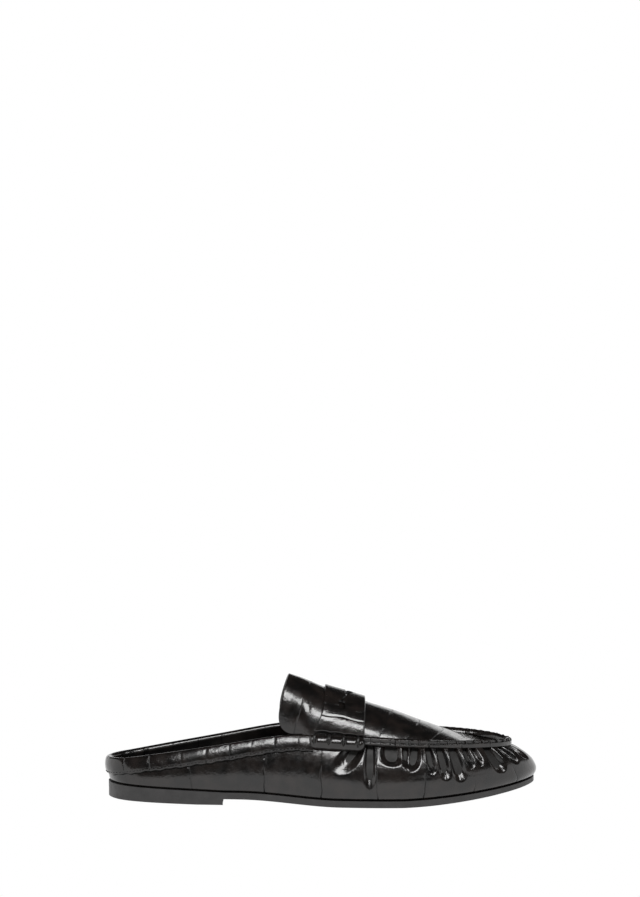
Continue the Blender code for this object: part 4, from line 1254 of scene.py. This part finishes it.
class LOAFER_OT_build_upper(bpy.types.Operator):
    """Wall, lining, apron and tongue"""

    bl_idname = "loafer.build_upper"
    bl_label = "Build upper"

    def execute(self, context):
        look = context.scene.loafer_look
        for piece in (make_wall(look), make_apron(look)):
            stands_for(piece, "upper")
        stands_for(make_lining(look), "upper")
        return {"FINISHED"}


class LOAFER_OT_build_collar(bpy.types.Operator):
    """Folded collar band with its row of stitches"""

    bl_idname = "loafer.build_collar"
    bl_label = "Build collar"

    def execute(self, context):
        look = context.scene.loafer_look
        thread = waxed_thread("waxed_thread_fine", look)
        for piece in (make_collar_band(look), make_collar_stitches(look, thread)):
            stands_for(piece, "collar_band")
        return {"FINISHED"}


class LOAFER_OT_build_seams(bpy.types.Operator):
    """Apron seam, stitched rolls and their whip stitches"""

    bl_idname = "loafer.build_seams"
    bl_label = "Build seams"

    def execute(self, context):
        look = context.scene.loafer_look
        thread = waxed_thread("waxed_thread_thick", look)
        covered = stitched_roll_rows()
        holes = rows_at_pitch(THROAT_OUTER + covered, THROAT_INNER - covered, SEAM_STITCH)
        for piece in (make_apron_seam(look, holes), make_seam_bars(thread, holes)):
            stands_for(piece, "apron_seam")
        for outer in (True, False):
            node = "stitched_roll_outer" if outer else "stitched_roll_inner"
            stands_for(make_stitched_roll(look, outer), node)
            stands_for(make_whip_stitches(thread, outer), node)
        return {"FINISHED"}


class LOAFER_OT_build_strap(bpy.types.Operator):
    """Saddle strap with its slot"""

    bl_idname = "loafer.build_strap"
    bl_label = "Build strap"

    def execute(self, context):
        stands_for(make_strap(context.scene.loafer_look), "saddle_strap")
        return {"FINISHED"}


class LOAFER_OT_build_sole(bpy.types.Operator):
    """Outsole, heel and footbed"""

    bl_idname = "loafer.build_sole"
    bl_label = "Build sole"

    def execute(self, context):
        look, sole = context.scene.loafer_look, context.scene.loafer_sole
        edge = burnished_edge("burnished_edge", sole)
        outsole = slab("outsole_edge", SOLE_LIP, sole_rise, seat_height, sole.rounding, edge)
        stands_for(outsole, "outsole")
        stands_for(make_heel(sole, edge), "heel")
        footbed = slab(
            "footbed",
            -(UPPER_WALL + GAP),
            lambda x: seat_height(x) + GAP,
            lambda x: seat_height(x) + GAP + INSOLE_THICKNESS,
            0.0008,
            soft_leather("footbed_leather", look),
        )
        stands_for(footbed, "insole")
        return {"FINISHED"}


class LOAFER_OT_build_stage(bpy.types.Operator):
    """Pale floor, studio light and the camera"""

    bl_idname = "loafer.build_stage"
    bl_label = "Build stage"

    def execute(self, context):
        stage = context.scene.loafer_stage
        make_floor(stage)
        make_studio(context.scene, stage)
        make_camera(context.scene)
        return {"FINISHED"}


def make_floor(stage):
    mesh = bpy.data.meshes.new("pale_floor")
    corners = [(-6, -6, 0), (6, -6, 0), (6, 6, 0), (-6, 6, 0)]
    mesh.from_pydata(corners, [], [(0, 1, 2, 3)])
    finish, graph = new_material("pale_floor", (0.95, 0.95, 0.95))
    sockets = {"Color": (1.0, 1.0, 1.0, 1.0), "Strength": stage.floor_light}
    graph.surface(graph.node("ShaderNodeEmission", {}, sockets))
    new_object("pale_floor", mesh, finish)


def make_studio(scene, stage):
    """White for the camera; for reflections a bright wall behind the shoe and a dim room before it."""
    scene.view_settings.view_transform = "Standard"
    scene.world = bpy.data.worlds.new("studio")
    graph = Graph(scene.world)
    way = graph.node("ShaderNodeTexCoord", {}, {}, "Generated")
    right = graph.node("ShaderNodeSeparateXYZ", {}, {0: way}, 0)
    height = Wire(graph, right.socket.node.outputs[2])
    edge = (-right).ramp(0.62, 0.92, 0.27, 0.85) + right.ramp(0.70, 0.95, 0.0, 0.16)
    glow = (height - edge).ramp(-0.05, 0.06, 1.0, 0.0)
    strength = glow * stage.behind_light + stage.dim_light
    white = {"Color": (1.0, 1.0, 1.0, 1.0)}
    seen = graph.node("ShaderNodeBackground", {}, {**white, "Strength": 1.0})
    felt = graph.node("ShaderNodeBackground", {}, {**white, "Strength": strength})
    camera_ray = graph.node("ShaderNodeLightPath", {}, {}, "Is Camera Ray")
    mixed = graph.node("ShaderNodeMixShader", {}, {0: camera_ray, 1: felt, 2: seen})
    graph.node("ShaderNodeOutputWorld", {}, {"Surface": mixed}, None)
    soft_box(scene, "key_box", (-4, 54), 1.2, (0.66, 0.34), stage.key_power)
    soft_box(scene, "side_box", (58, 50), 1.2, (0.24, 0.30), stage.side_power)


def soft_box(scene, name, way, distance, size, power):
    """A soft box that looks at the shoe. Way is degrees from the camera's side to the right, and upwards."""
    light = bpy.data.lights.new(name, "AREA")
    light.shape = "RECTANGLE"
    light.size, light.size_y = size
    light.energy = power
    made = bpy.data.objects.new(name, light)
    scene.collection.objects.link(made)
    turn, rise = (math.radians(angle) for angle in way)
    towards = Vector((math.sin(turn) * math.cos(rise), -math.cos(turn) * math.cos(rise), math.sin(rise)))
    middle = Vector((LENGTH / 2 - HEEL_REACH, 0.0, 0.03))
    made.location = middle + towards * distance
    made.rotation_euler = (-towards).to_track_quat("-Z", "Y").to_euler()
    made.visible_camera = False


def make_camera(scene):
    """Level side view from a little above, with the room over the shoe that the picture has."""
    tilt = math.radians(CAMERA_ELEVATION)
    sensor = CAMERA_LENS / 36 * 897
    lens = bpy.data.cameras.new("side_view")
    lens.lens, lens.sensor_width = CAMERA_LENS, 36
    camera = bpy.data.objects.new("side_view", lens)
    scene.collection.objects.link(camera)
    middle = Vector((LENGTH / 2 - HEEL_REACH - CAMERA_SHIFT, 0, 0.035))
    camera.location = middle + CAMERA_DISTANCE * Vector((0, -math.cos(tilt), math.sin(tilt)))
    camera.rotation_euler = (math.pi / 2 - (tilt - math.atan(CAMERA_DROP / sensor)), 0, 0)
    scene.camera = camera


class LOAFER_PT_panel(bpy.types.Panel):
    """Settings and steps of the loafer mule"""

    bl_idname = "LOAFER_PT_panel"
    bl_label = "Loafer mule"
    bl_space_type = "VIEW_3D"
    bl_region_type = "UI"
    bl_category = "Loafer"

    def draw(self, context):
        for group in (context.scene.loafer_look, context.scene.loafer_sole, context.scene.loafer_stage):
            for name in group.__annotations__:
                self.layout.prop(group, name)
        for operator in OPERATORS:
            self.layout.operator(operator.bl_idname)


GROUPS = {"loafer_look": LoaferLook, "loafer_sole": LoaferSole, "loafer_stage": LoaferStage}
OPERATORS = (
    LOAFER_OT_build_upper,
    LOAFER_OT_build_collar,
    LOAFER_OT_build_seams,
    LOAFER_OT_build_strap,
    LOAFER_OT_build_sole,
    LOAFER_OT_build_stage,
)


def register():
    for kind in (*GROUPS.values(), *OPERATORS, LOAFER_PT_panel):
        bpy.utils.register_class(kind)
    for name, group in GROUPS.items():
        setattr(bpy.types.Scene, name, PointerProperty(type=group))


def unregister():
    for name in GROUPS:
        delattr(bpy.types.Scene, name)
    for kind in reversed((*GROUPS.values(), *OPERATORS, LOAFER_PT_panel)):
        bpy.utils.unregister_class(kind)


def main():
    register()
    bpy.ops.loafer.build_upper()
    bpy.ops.loafer.build_collar()
    bpy.ops.loafer.build_seams()
    bpy.ops.loafer.build_strap()
    bpy.ops.loafer.build_sole()
    bpy.ops.loafer.build_stage()


if __name__ == "__main__":
    main()
